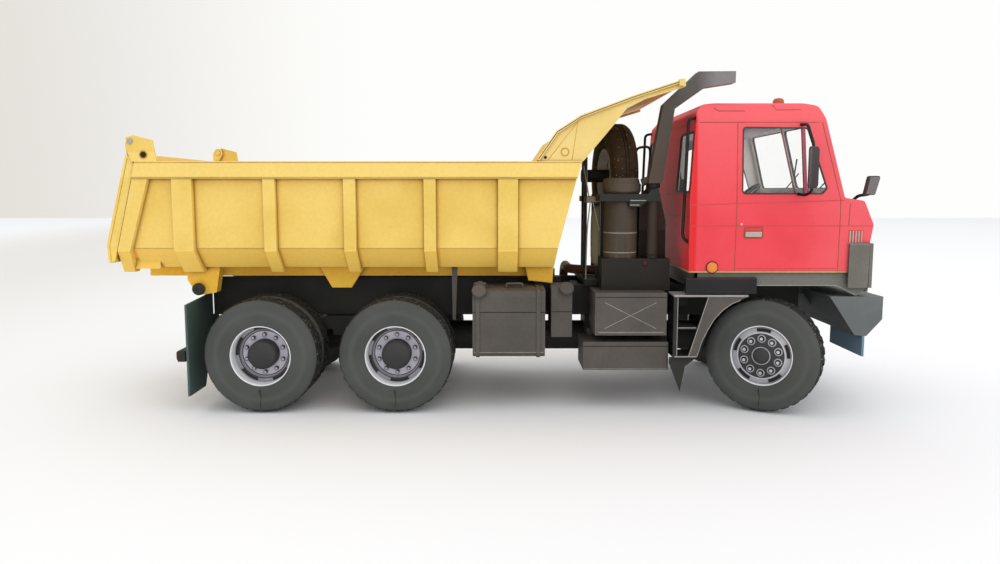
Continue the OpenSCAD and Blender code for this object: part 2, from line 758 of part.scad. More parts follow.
module ram_rods() {
    color([0.75, 0.75, 0.75]) on_ram() {
        translate([0, 0, -1.9]) cylinder(h = 21, r = 1.7);
        translate([0, -1.8, ram_len]) rotate([-90, 0, 0]) cylinder(h = 3.6, r = 2.1);
        translate([0, -3.2, ram_len]) rotate([-90, 0, 0]) cylinder(h = 6.4, r = 0.65);
    }
}

// ---- output --------------------------------------------------------------

chassis_frame();
backbone_tube();
engine_block();
half_axles();
leaf_springs();
knuckle(-1);  // knuckle_right
knuckle(1);  // knuckle_left
front_wheel(-1);  // wheel_front_right
front_wheel(1);  // wheel_front_left
rear_wheel(x_mid, -1);  // wheel_middle_right
rear_wheel(x_mid, 1);  // wheel_middle_left
rear_wheel(x_rear, -1);  // wheel_rear_right
rear_wheel(x_rear, 1);  // wheel_rear_left
front_tyre(-1);  // tyre_front_right
front_tyre(1);  // tyre_front_left
rear_tyres(x_mid, -1);  // tyres_middle_right
rear_tyres(x_mid, 1);  // tyres_middle_left
rear_tyres(x_rear, -1);  // tyres_rear_right
rear_tyres(x_rear, 1);  // tyres_rear_left
spare_tyre();
spare_rim();
spare_carrier();
fuel_tank();
small_tank();
battery_box();
tool_box();
air_cleaner();
intake_snorkel();
exhaust();
air_tanks();
rear_flaps();
underrun_bar();
cab_steps();
bumper();
cab_body();
cab_front();
cab_skirt();
cab_windows();
seats();
dashboard();
mirrors();
grab_rails();
bed_tub();
bed_ribs();
bed_canopy();
bed_beams();
bed_stay();
tailgate();
ram_barrels();
ram_stage_1();
ram_stage_2();
ram_rods();
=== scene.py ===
"""Three-axle tipper truck of printed card: finishes, detail pieces and studio."""

import logging
import math
from dataclasses import dataclass, field
from enum import Enum
from functools import cache
from typing import Callable, Iterable, Sequence

import bmesh
import bpy
from mathutils import Matrix, Vector


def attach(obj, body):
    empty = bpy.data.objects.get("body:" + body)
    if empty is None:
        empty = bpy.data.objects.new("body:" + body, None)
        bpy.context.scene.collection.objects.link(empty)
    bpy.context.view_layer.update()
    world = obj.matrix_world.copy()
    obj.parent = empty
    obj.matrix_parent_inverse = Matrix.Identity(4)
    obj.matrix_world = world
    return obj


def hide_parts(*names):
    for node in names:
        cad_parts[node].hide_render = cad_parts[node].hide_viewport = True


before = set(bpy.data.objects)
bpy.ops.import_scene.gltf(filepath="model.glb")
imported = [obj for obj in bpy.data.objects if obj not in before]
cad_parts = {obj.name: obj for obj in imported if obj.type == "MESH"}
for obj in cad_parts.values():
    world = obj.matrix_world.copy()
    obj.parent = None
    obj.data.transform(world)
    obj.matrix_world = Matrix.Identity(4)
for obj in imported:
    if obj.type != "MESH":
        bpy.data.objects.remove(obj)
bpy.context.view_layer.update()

log = logging.getLogger("tipper")

MM = 0.001
Rgb = tuple[int, int, int]
Flat = tuple[float, float]
Point = tuple[float, float, float]
Place = Callable[[float, float, float], Point]


# ---- node wiring ---------------------------------------------------------


def linear(rgb: Rgb) -> tuple[float, float, float, float]:
    """Turns a printed colour, 0 to 255 a channel, into a shader colour."""
    part = [c / 255 for c in rgb]
    return (*[c / 12.92 if c <= 0.04045 else ((c + 0.055) / 1.055) ** 2.4 for c in part], 1.0)


class Wiring:
    """Puts nodes into a tree and joins them."""

    def __init__(self, tree: bpy.types.NodeTree) -> None:
        """Keeps the tree that the nodes go into."""
        self.tree = tree

    def put(self, kind: str, inputs: dict | None = None, **settings: object) -> bpy.types.Node:
        """Adds one node.

        Args:
            kind: node type without its Shader prefix, such as "Mix".
            inputs: socket name or number to a value or another node's output.
            settings: the node's own properties.

        Returns:
            The new node.
        """
        node = self.tree.nodes.new(kind if kind.startswith("Node") else f"ShaderNode{kind}")
        for key, value in settings.items():
            setattr(node, key, value)
        for key, value in (inputs or {}).items():
            if isinstance(value, bpy.types.NodeSocket):
                self.tree.links.new(value, node.inputs[key])
            else:
                node.inputs[key].default_value = value
        return node

    def math(self, kind: str, *values: object, clamp: bool = False) -> bpy.types.NodeSocket:
        """One Math node; values are numbers or sockets, and it returns the result."""
        node = self.put("Math", dict(enumerate(values)), operation=kind, use_clamp=clamp)
        return node.outputs[0]

    def blend(self, amount: object, low: object, high: object) -> bpy.types.NodeSocket:
        """Mixes two colours, given as sockets or shader colours."""
        node = self.put("Mix", {0: amount, 6: low, 7: high}, data_type="RGBA")
        return node.outputs[2]

    def ramp(self, value: object, low: float, high: float) -> bpy.types.NodeSocket:
        """Stretches a value so that low gives 0 and high gives 1, with soft ends."""
        node = self.put(
            "MapRange",
            {"Value": value, "From Min": low, "From Max": high},
            interpolation_type="SMOOTHSTEP",
        )
        return node.outputs[0]


class Effect(Enum):
    """Shader groups that the finishes share."""

    FIBRE = "card_fibre"
    FOLD = "fold_wear_and_highlight"
    CREVICE = "painted_crevice_shade"
    SPECKS = "pale_specks"
    ZONE = "paint_zone"


@cache
def group(effect: Effect) -> bpy.types.NodeTree:
    """Gives one shared shader group, building it the first time.

    Args:
        effect: which group.

    Returns:
        The node group.
    """
    tree = bpy.data.node_groups.new(effect.value, "ShaderNodeTree")
    sockets = {
        Effect.FIBRE: (("Vector", "Fibre", "Cloud"), ("Height", "Tone", "Cloud")),
        Effect.FOLD: (("Width",), ("Mask",)),
        Effect.CREVICE: (("Distance",), ("Mask",)),
        Effect.SPECKS: (("Vector", "Scale", "Share"), ("Mask",)),
        Effect.ZONE: (("Value", "Low", "High", "Soft"), ("Mask",)),
    }[effect]
    for names, way in zip(sockets, ("INPUT", "OUTPUT")):
        for name in names:
            kind = "NodeSocketVector" if name == "Vector" else "NodeSocketFloat"
            tree.interface.new_socket(name=name, in_out=way, socket_type=kind)
    wiring = Wiring(tree)
    given = wiring.put("NodeGroupInput").outputs
    result = wiring.put("NodeGroupOutput").inputs
    BUILDERS[effect](wiring, given, result)
    return tree


def wire_fibre(w: Wiring, given: object, result: object) -> None:
    """Fine paper fibres, print mottle and large soft clouds.

    Args:
        w: wiring of the group.
        given: the group's inputs: Vector in mm, Fibre and Cloud in waves per mm.
        result: the group's outputs: Height, Tone and Cloud, all 0 to 1.
    """
    fine = w.put("TexNoise", {"Vector": given["Vector"], "Scale": given["Fibre"], "Detail": 5.0,
                              "Roughness": 0.65})
    mottle = w.put("TexNoise", {"Vector": given["Vector"], "Scale": 0.9, "Detail": 3.0})
    wide = w.put("TexNoise", {"Vector": given["Vector"], "Scale": given["Cloud"], "Detail": 2.0,
                              "Distortion": 0.4})
    w.tree.links.new(fine.outputs[0], result["Height"])
    tone = w.math("MULTIPLY_ADD", mottle.outputs[0], 0.5, w.math("MULTIPLY", fine.outputs[0], 0.5))
    w.tree.links.new(w.ramp(tone, 0.34, 0.66), result["Tone"])
    w.tree.links.new(w.ramp(wide.outputs[0], 0.32, 0.68), result["Cloud"])


def wire_fold(w: Wiring, given: object, result: object) -> None:
    """Marks the strip along each fold and cut edge, which the finishes paint lighter as wear and as
    painted highlight.

    Args:
        w: wiring of the group.
        given: the group's input: Width of the strip in mm.
        result: the group's output: Mask, 1 on the edge.
    """
    width = w.math("MULTIPLY", given["Width"], MM)
    soft = w.put("Bevel", {"Radius": width}, samples=4)
    plain = w.put("NewGeometry")
    dot = w.put("VectorMath", {0: soft.outputs[0], 1: plain.outputs["Normal"]},
                operation="DOT_PRODUCT")
    mask = w.put("MapRange", {"Value": dot.outputs["Value"], "From Min": 0.995, "From Max": 0.86})
    w.tree.links.new(mask.outputs[0], result["Mask"])


def wire_crevice(w: Wiring, given: object, result: object) -> None:
    """Marks, by ambient occlusion, inner corners and places that other pieces crowd, where the finishes
    paint shade.

    Args:
        w: wiring of the group.
        given: the group's input: Distance in mm.
        result: the group's output: Mask, 1 deep in the corner.
    """
    reach = w.math("MULTIPLY", given["Distance"], MM)
    shade = w.put("AmbientOcclusion", {"Distance": reach}, samples=8)
    mask = w.put("MapRange", {"Value": shade.outputs["AO"], "From Min": 0.92, "From Max": 0.3})
    w.tree.links.new(mask.outputs[0], result["Mask"])


def wire_specks(w: Wiring, given: object, result: object) -> None:
    """Small scattered spots.

    Args:
        w: wiring of the group.
        given: the group's inputs: Vector in mm, Scale in spots per mm, Share of cells with one.
        result: the group's output: Mask.
    """
    cells = w.put("TexVoronoi", {"Vector": given["Vector"], "Scale": given["Scale"],
                                 "Randomness": 1.0})
    spot = w.math("LESS_THAN", cells.outputs["Distance"], 0.3)
    tint = w.put("SeparateColor", {0: cells.outputs["Color"]})
    chosen = w.math("LESS_THAN", tint.outputs[0], given["Share"])
    w.tree.links.new(w.math("MULTIPLY", spot, chosen), result["Mask"])


def wire_zone(w: Wiring, given: object, result: object) -> None:
    """Marks the span of a value between two limits.

    Args:
        w: wiring of the group.
        given: the group's inputs: Value, Low, High and the Soft width of each limit.
        result: the group's output: Mask, 1 inside.
    """
    up = w.math("DIVIDE", w.math("SUBTRACT", given["Value"], given["Low"]), given["Soft"], clamp=True)
    down = w.math("DIVIDE", w.math("SUBTRACT", given["High"], given["Value"]), given["Soft"],
                  clamp=True)
    w.tree.links.new(w.math("MULTIPLY", up, down), result["Mask"])


BUILDERS: dict[Effect, Callable] = {
    Effect.FIBRE: wire_fibre,
    Effect.FOLD: wire_fold,
    Effect.CREVICE: wire_crevice,
    Effect.SPECKS: wire_specks,
    Effect.ZONE: wire_zone,
}


# ---- finishes ------------------------------------------------------------


class Axis(Enum):
    """What a band of print, or of painted light and shade, is measured along: the piece's own
    millimetres, or for SLOPE the upward part of the true normal.
    """

    X = "X"
    Y = "Y"
    Z = "Z"
    RADIAL = "RADIAL"
    SLOPE = "SLOPE"


@dataclass(frozen=True)
class Band:
    """A zone of print, or of painted light or shade, between two limits along one axis."""

    axis: Axis
    low: float
    high: float
    ink: Rgb
    amount: float = 1.0
    soft: float = 0.15


@dataclass(frozen=True)
class Card:
    """Matte printed card with fibres, uneven ink, folds painted lighter as wear and highlight, and
    painted shade in its corners.
    """

    name: str
    ink: Rgb
    cloud_ink: Rgb
    fold_ink: Rgb = (255, 255, 255)
    fold: float = 0.3
    fold_mm: float = 0.25
    corner_shade_ink: Rgb = (30, 28, 26)
    corner_shade: float = 0.4
    corner_shade_mm: float = 1.6
    tone: float = 0.12
    fibre: float = 3.0
    cloud: float = 0.06
    rough: float = 0.62
    grain: float = 0.25
    metal: float = 0.0
    speck_ink: Rgb = (150, 148, 142)
    specks: float = 0.0
    bands: tuple[Band, ...] = ()

    @cache
    def material(self) -> bpy.types.Material:
        """Builds the material the first time, and gives the same one after that.

        Returns:
            The material.
        """
        made = bpy.data.materials.new(self.name)
        made.use_nodes = True
        w = Wiring(made.node_tree)
        shader = made.node_tree.nodes["Principled BSDF"]
        space = w.put("TexCoord").outputs["Object"]
        place = w.put("VectorMath", {0: space, 3: 1000.0}, operation="SCALE").outputs[0]
        paper = w.put("Group", node_tree=group(Effect.FIBRE))
        made.node_tree.links.new(place, paper.inputs["Vector"])
        paper.inputs["Fibre"].default_value = self.fibre
        paper.inputs["Cloud"].default_value = self.cloud
        colour = w.blend(paper.outputs["Cloud"], linear(self.ink), linear(self.cloud_ink))
        for band in self.bands:
            colour = w.blend(self._band(w, place, band), colour, linear(band.ink))
        shade = w.math("MULTIPLY_ADD", paper.outputs["Tone"], self.tone, 1.0 - self.tone / 2)
        scaled = w.put("VectorMath", {0: colour, 3: shade}, operation="SCALE")
        colour = scaled.outputs[0]
        if self.specks:
            spots = w.put("Group", node_tree=group(Effect.SPECKS))
            made.node_tree.links.new(place, spots.inputs["Vector"])
            spots.inputs["Scale"].default_value = 1.9
            spots.inputs["Share"].default_value = self.specks
            colour = w.blend(spots.outputs[0], colour, linear(self.speck_ink))
        # Folds and cut edges are painted lighter: partly wear, partly painted highlight.
        if self.fold:
            edge = w.put("Group", {"Width": self.fold_mm}, node_tree=group(Effect.FOLD)).outputs[0]
            wear_and_highlight = w.math("MULTIPLY", edge, w.math("MULTIPLY_ADD", paper.outputs["Tone"], 0.5,
                                                   0.5))
            colour = w.blend(w.math("MULTIPLY", wear_and_highlight, self.fold), colour, linear(self.fold_ink))
        # Painted shade: ambient occlusion darkens inner corners and places that other pieces crowd.
        if self.corner_shade:
            corner = w.put("Group", {"Distance": self.corner_shade_mm}, node_tree=group(Effect.CREVICE))
            amount = w.math("MULTIPLY", corner.outputs[0], self.corner_shade)
            colour = w.blend(amount, colour, linear(self.corner_shade_ink))
        made.node_tree.links.new(colour, shader.inputs["Base Color"])
        rough = w.math("MULTIPLY_ADD", paper.outputs["Tone"], 0.14, self.rough - 0.07)
        made.node_tree.links.new(rough, shader.inputs["Roughness"])
        bump = w.put("Bump", {"Height": paper.outputs["Height"], "Strength": self.grain,
                              "Distance": 0.00012})
        made.node_tree.links.new(bump.outputs[0], shader.inputs["Normal"])
        shader.inputs["Metallic"].default_value = self.metal
        shader.inputs["Specular IOR Level"].default_value = 0.28
        return made

    def _band(self, w: Wiring, place: object, band: Band) -> bpy.types.NodeSocket:
        """Mask of one zone of print, or of painted light or shade.

        Args:
            w: wiring of the material.
            place: position in mm.
            band: the zone.

        Returns:
            The mask times the band's amount.
        """
        split = w.put("SeparateXYZ", {0: place})
        if band.axis is Axis.RADIAL:
            flat = w.put("CombineXYZ", {0: split.outputs[0], 1: split.outputs[1]})
            value = w.put("VectorMath", {0: flat.outputs[0]}, operation="LENGTH").outputs["Value"]
        elif band.axis is Axis.SLOPE:
            value = w.put("SeparateXYZ", {0: w.put("NewGeometry").outputs["True Normal"]}).outputs[2]
        else:
            value = split.outputs["XYZ".index(band.axis.value)]
        zone = w.put("Group", {"Value": value, "Low": band.low, "High": band.high,
                               "Soft": band.soft}, node_tree=group(Effect.ZONE))
        return w.math("MULTIPLY", zone.outputs[0], band.amount)


@dataclass(frozen=True)
class Film:
    """Clear glazing film with a faint haze."""

    name: str
    tint: Rgb
    alpha: float = 0.16
    rough: float = 0.12

    @cache
    def material(self) -> bpy.types.Material:
        """Builds the material the first time, and gives the same one after that.

        Returns:
            The material.
        """
        made = bpy.data.materials.new(self.name)
        made.use_nodes = True
        w = Wiring(made.node_tree)
        shader = made.node_tree.nodes["Principled BSDF"]
        space = w.put("TexCoord").outputs["Object"]
        place = w.put("VectorMath", {0: space, 3: 1000.0}, operation="SCALE").outputs[0]
        haze = w.put("TexNoise", {"Vector": place, "Scale": 0.12, "Detail": 3.0}).outputs[0]
        tint = linear(self.tint)
        pale = tuple(c * 0.9 for c in tint[:3]) + (1.0,)
        made.node_tree.links.new(w.blend(haze, tint, pale), shader.inputs["Base Color"])
        made.node_tree.links.new(w.math("MULTIPLY_ADD", haze, 0.04, self.alpha - 0.02),
                                 shader.inputs["Alpha"])
        made.node_tree.links.new(w.math("MULTIPLY_ADD", haze, 0.1, self.rough - 0.05),
                                 shader.inputs["Roughness"])
        return made


Finish = Card | Film

YELLOW = Card(
    "yellow_print", (242, 208, 112), (232, 196, 96), fold_ink=(255, 240, 184), fold=0.55,
    fold_mm=0.3, corner_shade_ink=(112, 74, 18), corner_shade=0.75, corner_shade_mm=1.5, tone=0.07,
    bands=(Band(Axis.Z, 71.6, 79.4, (246, 214, 122), 0.8), Band(Axis.Z, 20, 50.2, (252, 208, 96), 0.85)),
)
CANOPY = Card(
    "canopy_print", (240, 212, 134), (232, 202, 120), fold_ink=(255, 246, 206), fold=0.5,
    corner_shade_ink=(140, 96, 24), corner_shade=0.6, corner_shade_mm=1.2, tone=0.05,
)
AMBER = Card(
    "amber_print", (248, 198, 70), (236, 184, 60), fold_ink=(246, 210, 120), fold=0.5,
    corner_shade_ink=(70, 46, 12), corner_shade=0.7, corner_shade_mm=2.0, tone=0.1,
)
RED = Card(
    "red_print", (238, 74, 84), (231, 66, 76), fold_ink=(252, 150, 154), fold=0.4, fold_mm=0.3,
    corner_shade_ink=(96, 26, 22), corner_shade=0.55, corner_shade_mm=1.2, tone=0.05,
    # The bands paint light and shade: the upper cab lighter as painted sheen, the front lighter towards
    # the nose, and the back below X 60.2 a darker, deeper red as painted shade.
    bands=(Band(Axis.Z, 60, 130, (244, 106, 112), 0.7, 30.0),
           Band(Axis.X, 90, 130, (242, 112, 120), 0.6, 22.0),
           Band(Axis.X, 40, 60.2, (224, 34, 38), 0.9, 0.6)),
)
WHITE = Card(
    "bare_card", (254, 252, 248), (250, 247, 242), fold_ink=(255, 255, 252), fold=0.2,
    corner_shade_ink=(150, 140, 130), corner_shade=0.35, tone=0.04,
)
CHARCOAL = Card(
    "charcoal_print", (90, 85, 79), (80, 76, 71), fold_ink=(132, 128, 122), fold=0.5, fold_mm=0.3,
    corner_shade_ink=(20, 18, 16), corner_shade=0.7, corner_shade_mm=2.2, tone=0.16,
)
SILL = Card(
    "sill_print", (114, 112, 104), (104, 102, 95), fold_ink=(150, 148, 142), fold=0.5, fold_mm=0.3,
    corner_shade_ink=(26, 24, 22), corner_shade=0.7, corner_shade_mm=2.2, tone=0.16,
)
BUMPER = Card(
    "bumper_print", (108, 112, 112), (100, 104, 104), fold_ink=(156, 158, 156), fold=0.5,
    corner_shade_ink=(30, 32, 32), corner_shade=0.5, corner_shade_mm=2.0, tone=0.1,
    # The first band is painted shade: faces that look downwards are printed dark.
    bands=(Band(Axis.SLOPE, -2, -0.35, (44, 46, 46), 0.95, 0.1),
           Band(Axis.Z, 10, 24.0, (110, 138, 158), 0.95)),
)
BLACK = Card(
    "black_print", (44, 44, 40), (36, 37, 35), fold_ink=(98, 98, 94), fold=0.4, fold_mm=0.22,
    corner_shade_ink=(12, 12, 12), corner_shade=0.5, corner_shade_mm=3.0, tone=0.18,
)
STEP_TOP = Card(
    "step_top_print", (160, 157, 156), (148, 145, 144), fold_ink=(204, 202, 200), fold=0.4, tone=0.14,
    corner_shade_ink=(30, 30, 30), corner_shade=0.3, corner_shade_mm=1.0,
)
FLAP = Card(
    "flap_print", (75, 94, 90), (64, 80, 77), fold_ink=(110, 120, 118), fold=0.4, tone=0.14,
    corner_shade_ink=(10, 12, 12), corner_shade=0.4,
)
RUBBER = Card(
    "rubber_print", (80, 82, 80), (71, 73, 71), fold_ink=(104, 106, 104), fold=0.15, tone=0.1,
    corner_shade_ink=(18, 18, 18), corner_shade=0.5, corner_shade_mm=1.6, rough=0.74, grain=0.4, specks=0.0,
    # The bands paint light on the sidewall: a lighter ring where the wall bulges, as painted highlight,
    # and a darker ring by the shoulder, as painted shade.
    bands=(Band(Axis.RADIAL, 12.2, 14.8, (86, 88, 86), 0.6, 1.2),
           Band(Axis.RADIAL, 17.1, 19, (52, 53, 52), 0.9, 0.4)),
)
TREAD = Card(
    "tread_print", (44, 44, 43), (36, 36, 35), fold_ink=(120, 120, 116), fold=0.5, fold_mm=0.2,
    tone=0.3, corner_shade_ink=(10, 10, 10), corner_shade=0.6, corner_shade_mm=1.2, rough=0.8, grain=0.7, specks=0.12,
)
SPARE = Card(
    "spare_rubber_print", (74, 60, 46), (62, 50, 38), fold_ink=(150, 128, 92), fold=0.5,
    fold_mm=0.25, tone=0.24, corner_shade_ink=(20, 14, 10), corner_shade=0.6, corner_shade_mm=1.2, rough=0.76, grain=0.6,
    speck_ink=(190, 168, 120), specks=0.1,
)
DISC = Card(
    "disc_print", (226, 222, 232), (214, 210, 222), fold_ink=(220, 220, 226), fold=0.3, tone=0.1,
    corner_shade_ink=(50, 50, 56), corner_shade=0.35, corner_shade_mm=0.8,
)
LIP = Card(
    "rim_white", (238, 238, 240), (226, 226, 230), fold_ink=(255, 255, 255), fold=0.2, tone=0.06,
    corner_shade_ink=(110, 110, 116), corner_shade=0.4, corner_shade_mm=1.2,
    bands=(Band(Axis.Z, -2.45, -2.2, (60, 60, 64), 0.8, 0.05),
           Band(Axis.Z, -4.7, -4.45, (70, 70, 74), 0.8, 0.05)),
)
STEEL_RING = Card(
    "ring_print", (176, 176, 180), (160, 160, 166), fold_ink=(220, 220, 224), fold=0.4, tone=0.12,
    corner_shade_ink=(40, 40, 44), corner_shade=0.5, corner_shade_mm=1.0,
)
HUB = Card(
    "hub_print", (62, 61, 62), (52, 51, 52), fold_ink=(104, 103, 104), fold=0.4, tone=0.14,
    corner_shade_ink=(14, 14, 14), corner_shade=0.5,
)
PALE_RING_AND_NUT_HIGHLIGHT = Card(
    "pale_ring_and_nut_highlight", (206, 206, 210), (188, 188, 194), fold_ink=(240, 240, 242), fold=0.3, tone=0.08,
    corner_shade_ink=(70, 70, 74), corner_shade=0.3,
)
INKLINE = Card(
    "ink_line", (34, 30, 28), (26, 24, 22), fold=0.0, corner_shade=0.0, tone=0.2, rough=0.6,
)
SEAM = Card(
    "seam_line", (156, 92, 58), (136, 80, 50), fold=0.0, corner_shade=0.0, tone=0.3, rough=0.6,
)
CREASE = Card(
    "crease_line", (200, 74, 72), (212, 84, 84), fold=0.0, corner_shade=0.0, tone=0.2, rough=0.6,
)
TRIM = Card(
    "trim_line", (186, 158, 104), (168, 142, 96), fold=0.0, corner_shade=0.0, tone=0.2,
)
PALE_LINE = Card(
    "pale_line", (160, 158, 152), (140, 138, 132), fold=0.0, corner_shade=0.0, tone=0.3,
)
GOLD_LINE = Card(
    "gold_line", (196, 152, 58), (176, 132, 44), fold=0.0, corner_shade=0.0, tone=0.25,
)
GASKET = Card(
    "gasket_print", (30, 29, 30), (22, 22, 23), fold_ink=(80, 80, 80), fold=0.3, corner_shade=0.0, tone=0.2,
    rough=0.5,
)
WIRE = Card(
    "painted_wire", (26, 27, 28), (20, 20, 22), fold_ink=(90, 90, 90), fold=0.15, corner_shade=0.2,
    tone=0.15, rough=0.4, grain=0.1,
)
CLEANER = Card(
    "canister_print", (84, 73, 60), (72, 62, 52), fold_ink=(140, 126, 110), fold=0.4, fold_mm=0.25,
    corner_shade_ink=(18, 14, 12), corner_shade=0.6, corner_shade_mm=2.0, tone=0.16,
    bands=(Band(Axis.Z, 20, 47.2, (30, 28, 23), 0.95), Band(Axis.X, 45.3, 60, (36, 30, 25), 0.9),
           Band(Axis.Z, 55.4, 66.6, (66, 57, 47), 0.7, 0.1)),
)
SNORKEL = Card(
    "duct_print", (92, 88, 84), (82, 78, 75), fold_ink=(140, 138, 136), fold=0.55, fold_mm=0.25,
    corner_shade_ink=(26, 22, 20), corner_shade=0.5, corner_shade_mm=1.6, tone=0.12,
    bands=(Band(Axis.Z, 40, 98, (80, 67, 55), 0.9, 22.0), Band(Axis.Z, 20, 69.9, (58, 48, 40), 0.95),
           Band(Axis.X, 60.5, 80, (134, 130, 131), 0.95, 6.0)),
)
EXHAUST = Card(
    "exhaust_print", (128, 84, 58), (96, 60, 44), fold_ink=(168, 120, 84), fold=0.3, tone=0.3,
    corner_shade_ink=(30, 18, 12), corner_shade=0.6, corner_shade_mm=2.0,
)
BOTTLE = Card(
    "bottle_print", (150, 140, 122), (134, 124, 108), fold_ink=(190, 182, 166), fold=0.3, tone=0.16,
    corner_shade_ink=(30, 26, 22), corner_shade=0.6, corner_shade_mm=2.0,
)
WINE = Card(
    "wine_print_and_red_sheen", (84, 30, 28), (70, 24, 23), fold_ink=(130, 60, 54), fold=0.3, tone=0.1,
    corner_shade_ink=(20, 8, 8), corner_shade=0.3, rough=0.4,
)
WINDOW_SHADE = Card(
    "painted_window_shade_grey", (166, 154, 160), (154, 143, 149), fold=0.2, corner_shade=0.2, tone=0.1,
)
BAR = Card(
    "bar_print", (178, 78, 98), (166, 70, 90), fold=0.0, corner_shade=0.0, tone=0.1,
)
PANE_EDGE = Card(
    "pane_edge_print", (68, 64, 58), (56, 53, 48), fold_ink=(110, 106, 98), fold=0.2, corner_shade=0.0,
    tone=0.2,
)
PLATE = Card(
    "handle_print", (188, 173, 164), (176, 162, 154), fold_ink=(222, 212, 204), fold=0.3, tone=0.1,
    corner_shade_ink=(60, 40, 36), corner_shade=0.3,
)
MARKER = Card(
    "marker_orange", (240, 142, 62), (230, 126, 48), fold_ink=(255, 190, 120), fold=0.5, tone=0.1,
    corner_shade_ink=(120, 50, 10), corner_shade=0.4, rough=0.35,
)
BEACON = Card(
    "beacon_amber", (196, 108, 72), (176, 92, 60), fold_ink=(240, 170, 130), fold=0.3, tone=0.12,
    corner_shade_ink=(90, 40, 20), corner_shade=0.4, rough=0.3,
)
LAMP = Card(
    "lamp_print", (226, 226, 220), (208, 210, 206), fold_ink=(255, 255, 255), fold=0.3, tone=0.08,
    corner_shade_ink=(80, 80, 80), corner_shade=0.4, rough=0.25,
)
TAIL = Card(
    "tail_lamp_red", (176, 34, 30), (156, 26, 24), fold_ink=(230, 90, 80), fold=0.3, tone=0.1,
    corner_shade_ink=(60, 8, 8), corner_shade=0.4, rough=0.3,
)
MIRROR = Card(
    "mirror_print", (74, 66, 66), (62, 56, 56), fold_ink=(120, 110, 108), fold=0.4, tone=0.1,
    corner_shade_ink=(20, 18, 18), corner_shade=0.4,
)
MIRROR_GLASS = Card(
    "mirror_face", (128, 118, 120), (116, 108, 110), fold=0.2, corner_shade=0.2, tone=0.04, rough=0.2,
    grain=0.02, metal=0.25,
)
STEEL = Card(
    "ram_steel", (196, 196, 198), (176, 177, 180), fold_ink=(232, 232, 232), fold=0.4, tone=0.08,
    corner_shade_ink=(50, 50, 52), corner_shade=0.4, rough=0.34, grain=0.05, metal=0.75,
)
INSIDE = Card(
    "interior_print", (96, 94, 92), (82, 80, 78), fold_ink=(150, 148, 146), fold=0.4, tone=0.14,
    corner_shade_ink=(24, 24, 24), corner_shade=0.5,
)
GLAZING = Film("glazing_film", (250, 252, 253), 0.03, 0.1)


# ---- flat outlines -------------------------------------------------------


def rect(x0: float, y0: float, x1: float, y1: float) -> list[Flat]:
    """Corners of an upright rectangle, from (x0, y0) round to (x0, y1)."""
    return [(x0, y0), (x1, y0), (x1, y1), (x0, y1)]


def rounded(loop: Sequence[Flat], radius: float | Sequence[float], steps: int = 4) -> list[Flat]:
    """Rounds the corners of a closed outline.

    Args:
        loop: corners in order.
        radius: one radius, or one for each corner.
        steps: flats along each corner.

    Returns:
        The outline with rounded corners.
    """
    out: list[Flat] = []
    for i, corner in enumerate(loop):
        here = Vector(corner)
        back, ahead = Vector(loop[i - 1]) - here, Vector(loop[(i + 1) % len(loop)]) - here
        r = radius if isinstance(radius, (int, float)) else radius[i]
        angle = back.angle(ahead)
        if r <= 0 or angle > math.pi - 0.03:
            out.append(tuple(here))
            continue
        cut = min(r / math.tan(angle / 2), back.length * 0.48, ahead.length * 0.48)
        first, last = here + back.normalized() * cut, here + ahead.normalized() * cut
        for k in range(steps + 1):
            t = k / steps
            out.append(tuple(first * (1 - t) ** 2 + here * 2 * t * (1 - t) + last * t * t))
    return out


def grown(loop: Sequence[Flat], by: float) -> list[Flat]:
    """Moves a closed outline outwards, or inwards for a negative amount.

    Args:
        loop: corners in order.
        by: distance.

    Returns:
        The moved outline, with as many corners.
    """
    n = len(loop)
    area = sum(loop[i - 1][0] * loop[i][1] - loop[i][0] * loop[i - 1][1] for i in range(n))
    side = 1 if area > 0 else -1
    out: list[Flat] = []
    for i in range(n):
        a, b, c = Vector(loop[i - 1]), Vector(loop[i]), Vector(loop[(i + 1) % n])
        d1, d2 = (b - a).normalized(), (c - b).normalized()
        n1, n2 = Vector((d1.y, -d1.x)) * side, Vector((d2.y, -d2.x)) * side
        out.append(tuple(b + (n1 + n2) / max(0.3, 1 + n1.dot(n2)) * by))
    return out


def circle(u: float, v: float, r: float, steps: int = 24) -> list[Flat]:
    """Outline of a circle."""
    turn = 2 * math.pi / steps
    return [(u + r * math.cos(i * turn), v + r * math.sin(i * turn)) for i in range(steps)]


def side_view(u: float, v: float, w: float) -> Point:
    """Outline seen from the side: u forward, v up, w is Y."""
    return (u, w, v)


def front_view(u: float, v: float, w: float) -> Point:
    """Outline seen along the truck: u is Y, v up, w is X."""
    return (w, u, v)


def top_view(u: float, v: float, w: float) -> Point:
    """Outline seen from above: u is X, v is Y, w up."""
    return (u, v, w)


def near_side(y: float) -> Place:
    """Right-hand side plane at Y = -y; w is height off it, outwards."""
    return lambda u, v, w: (u, -y - w, v)


# ---- pieces --------------------------------------------------------------


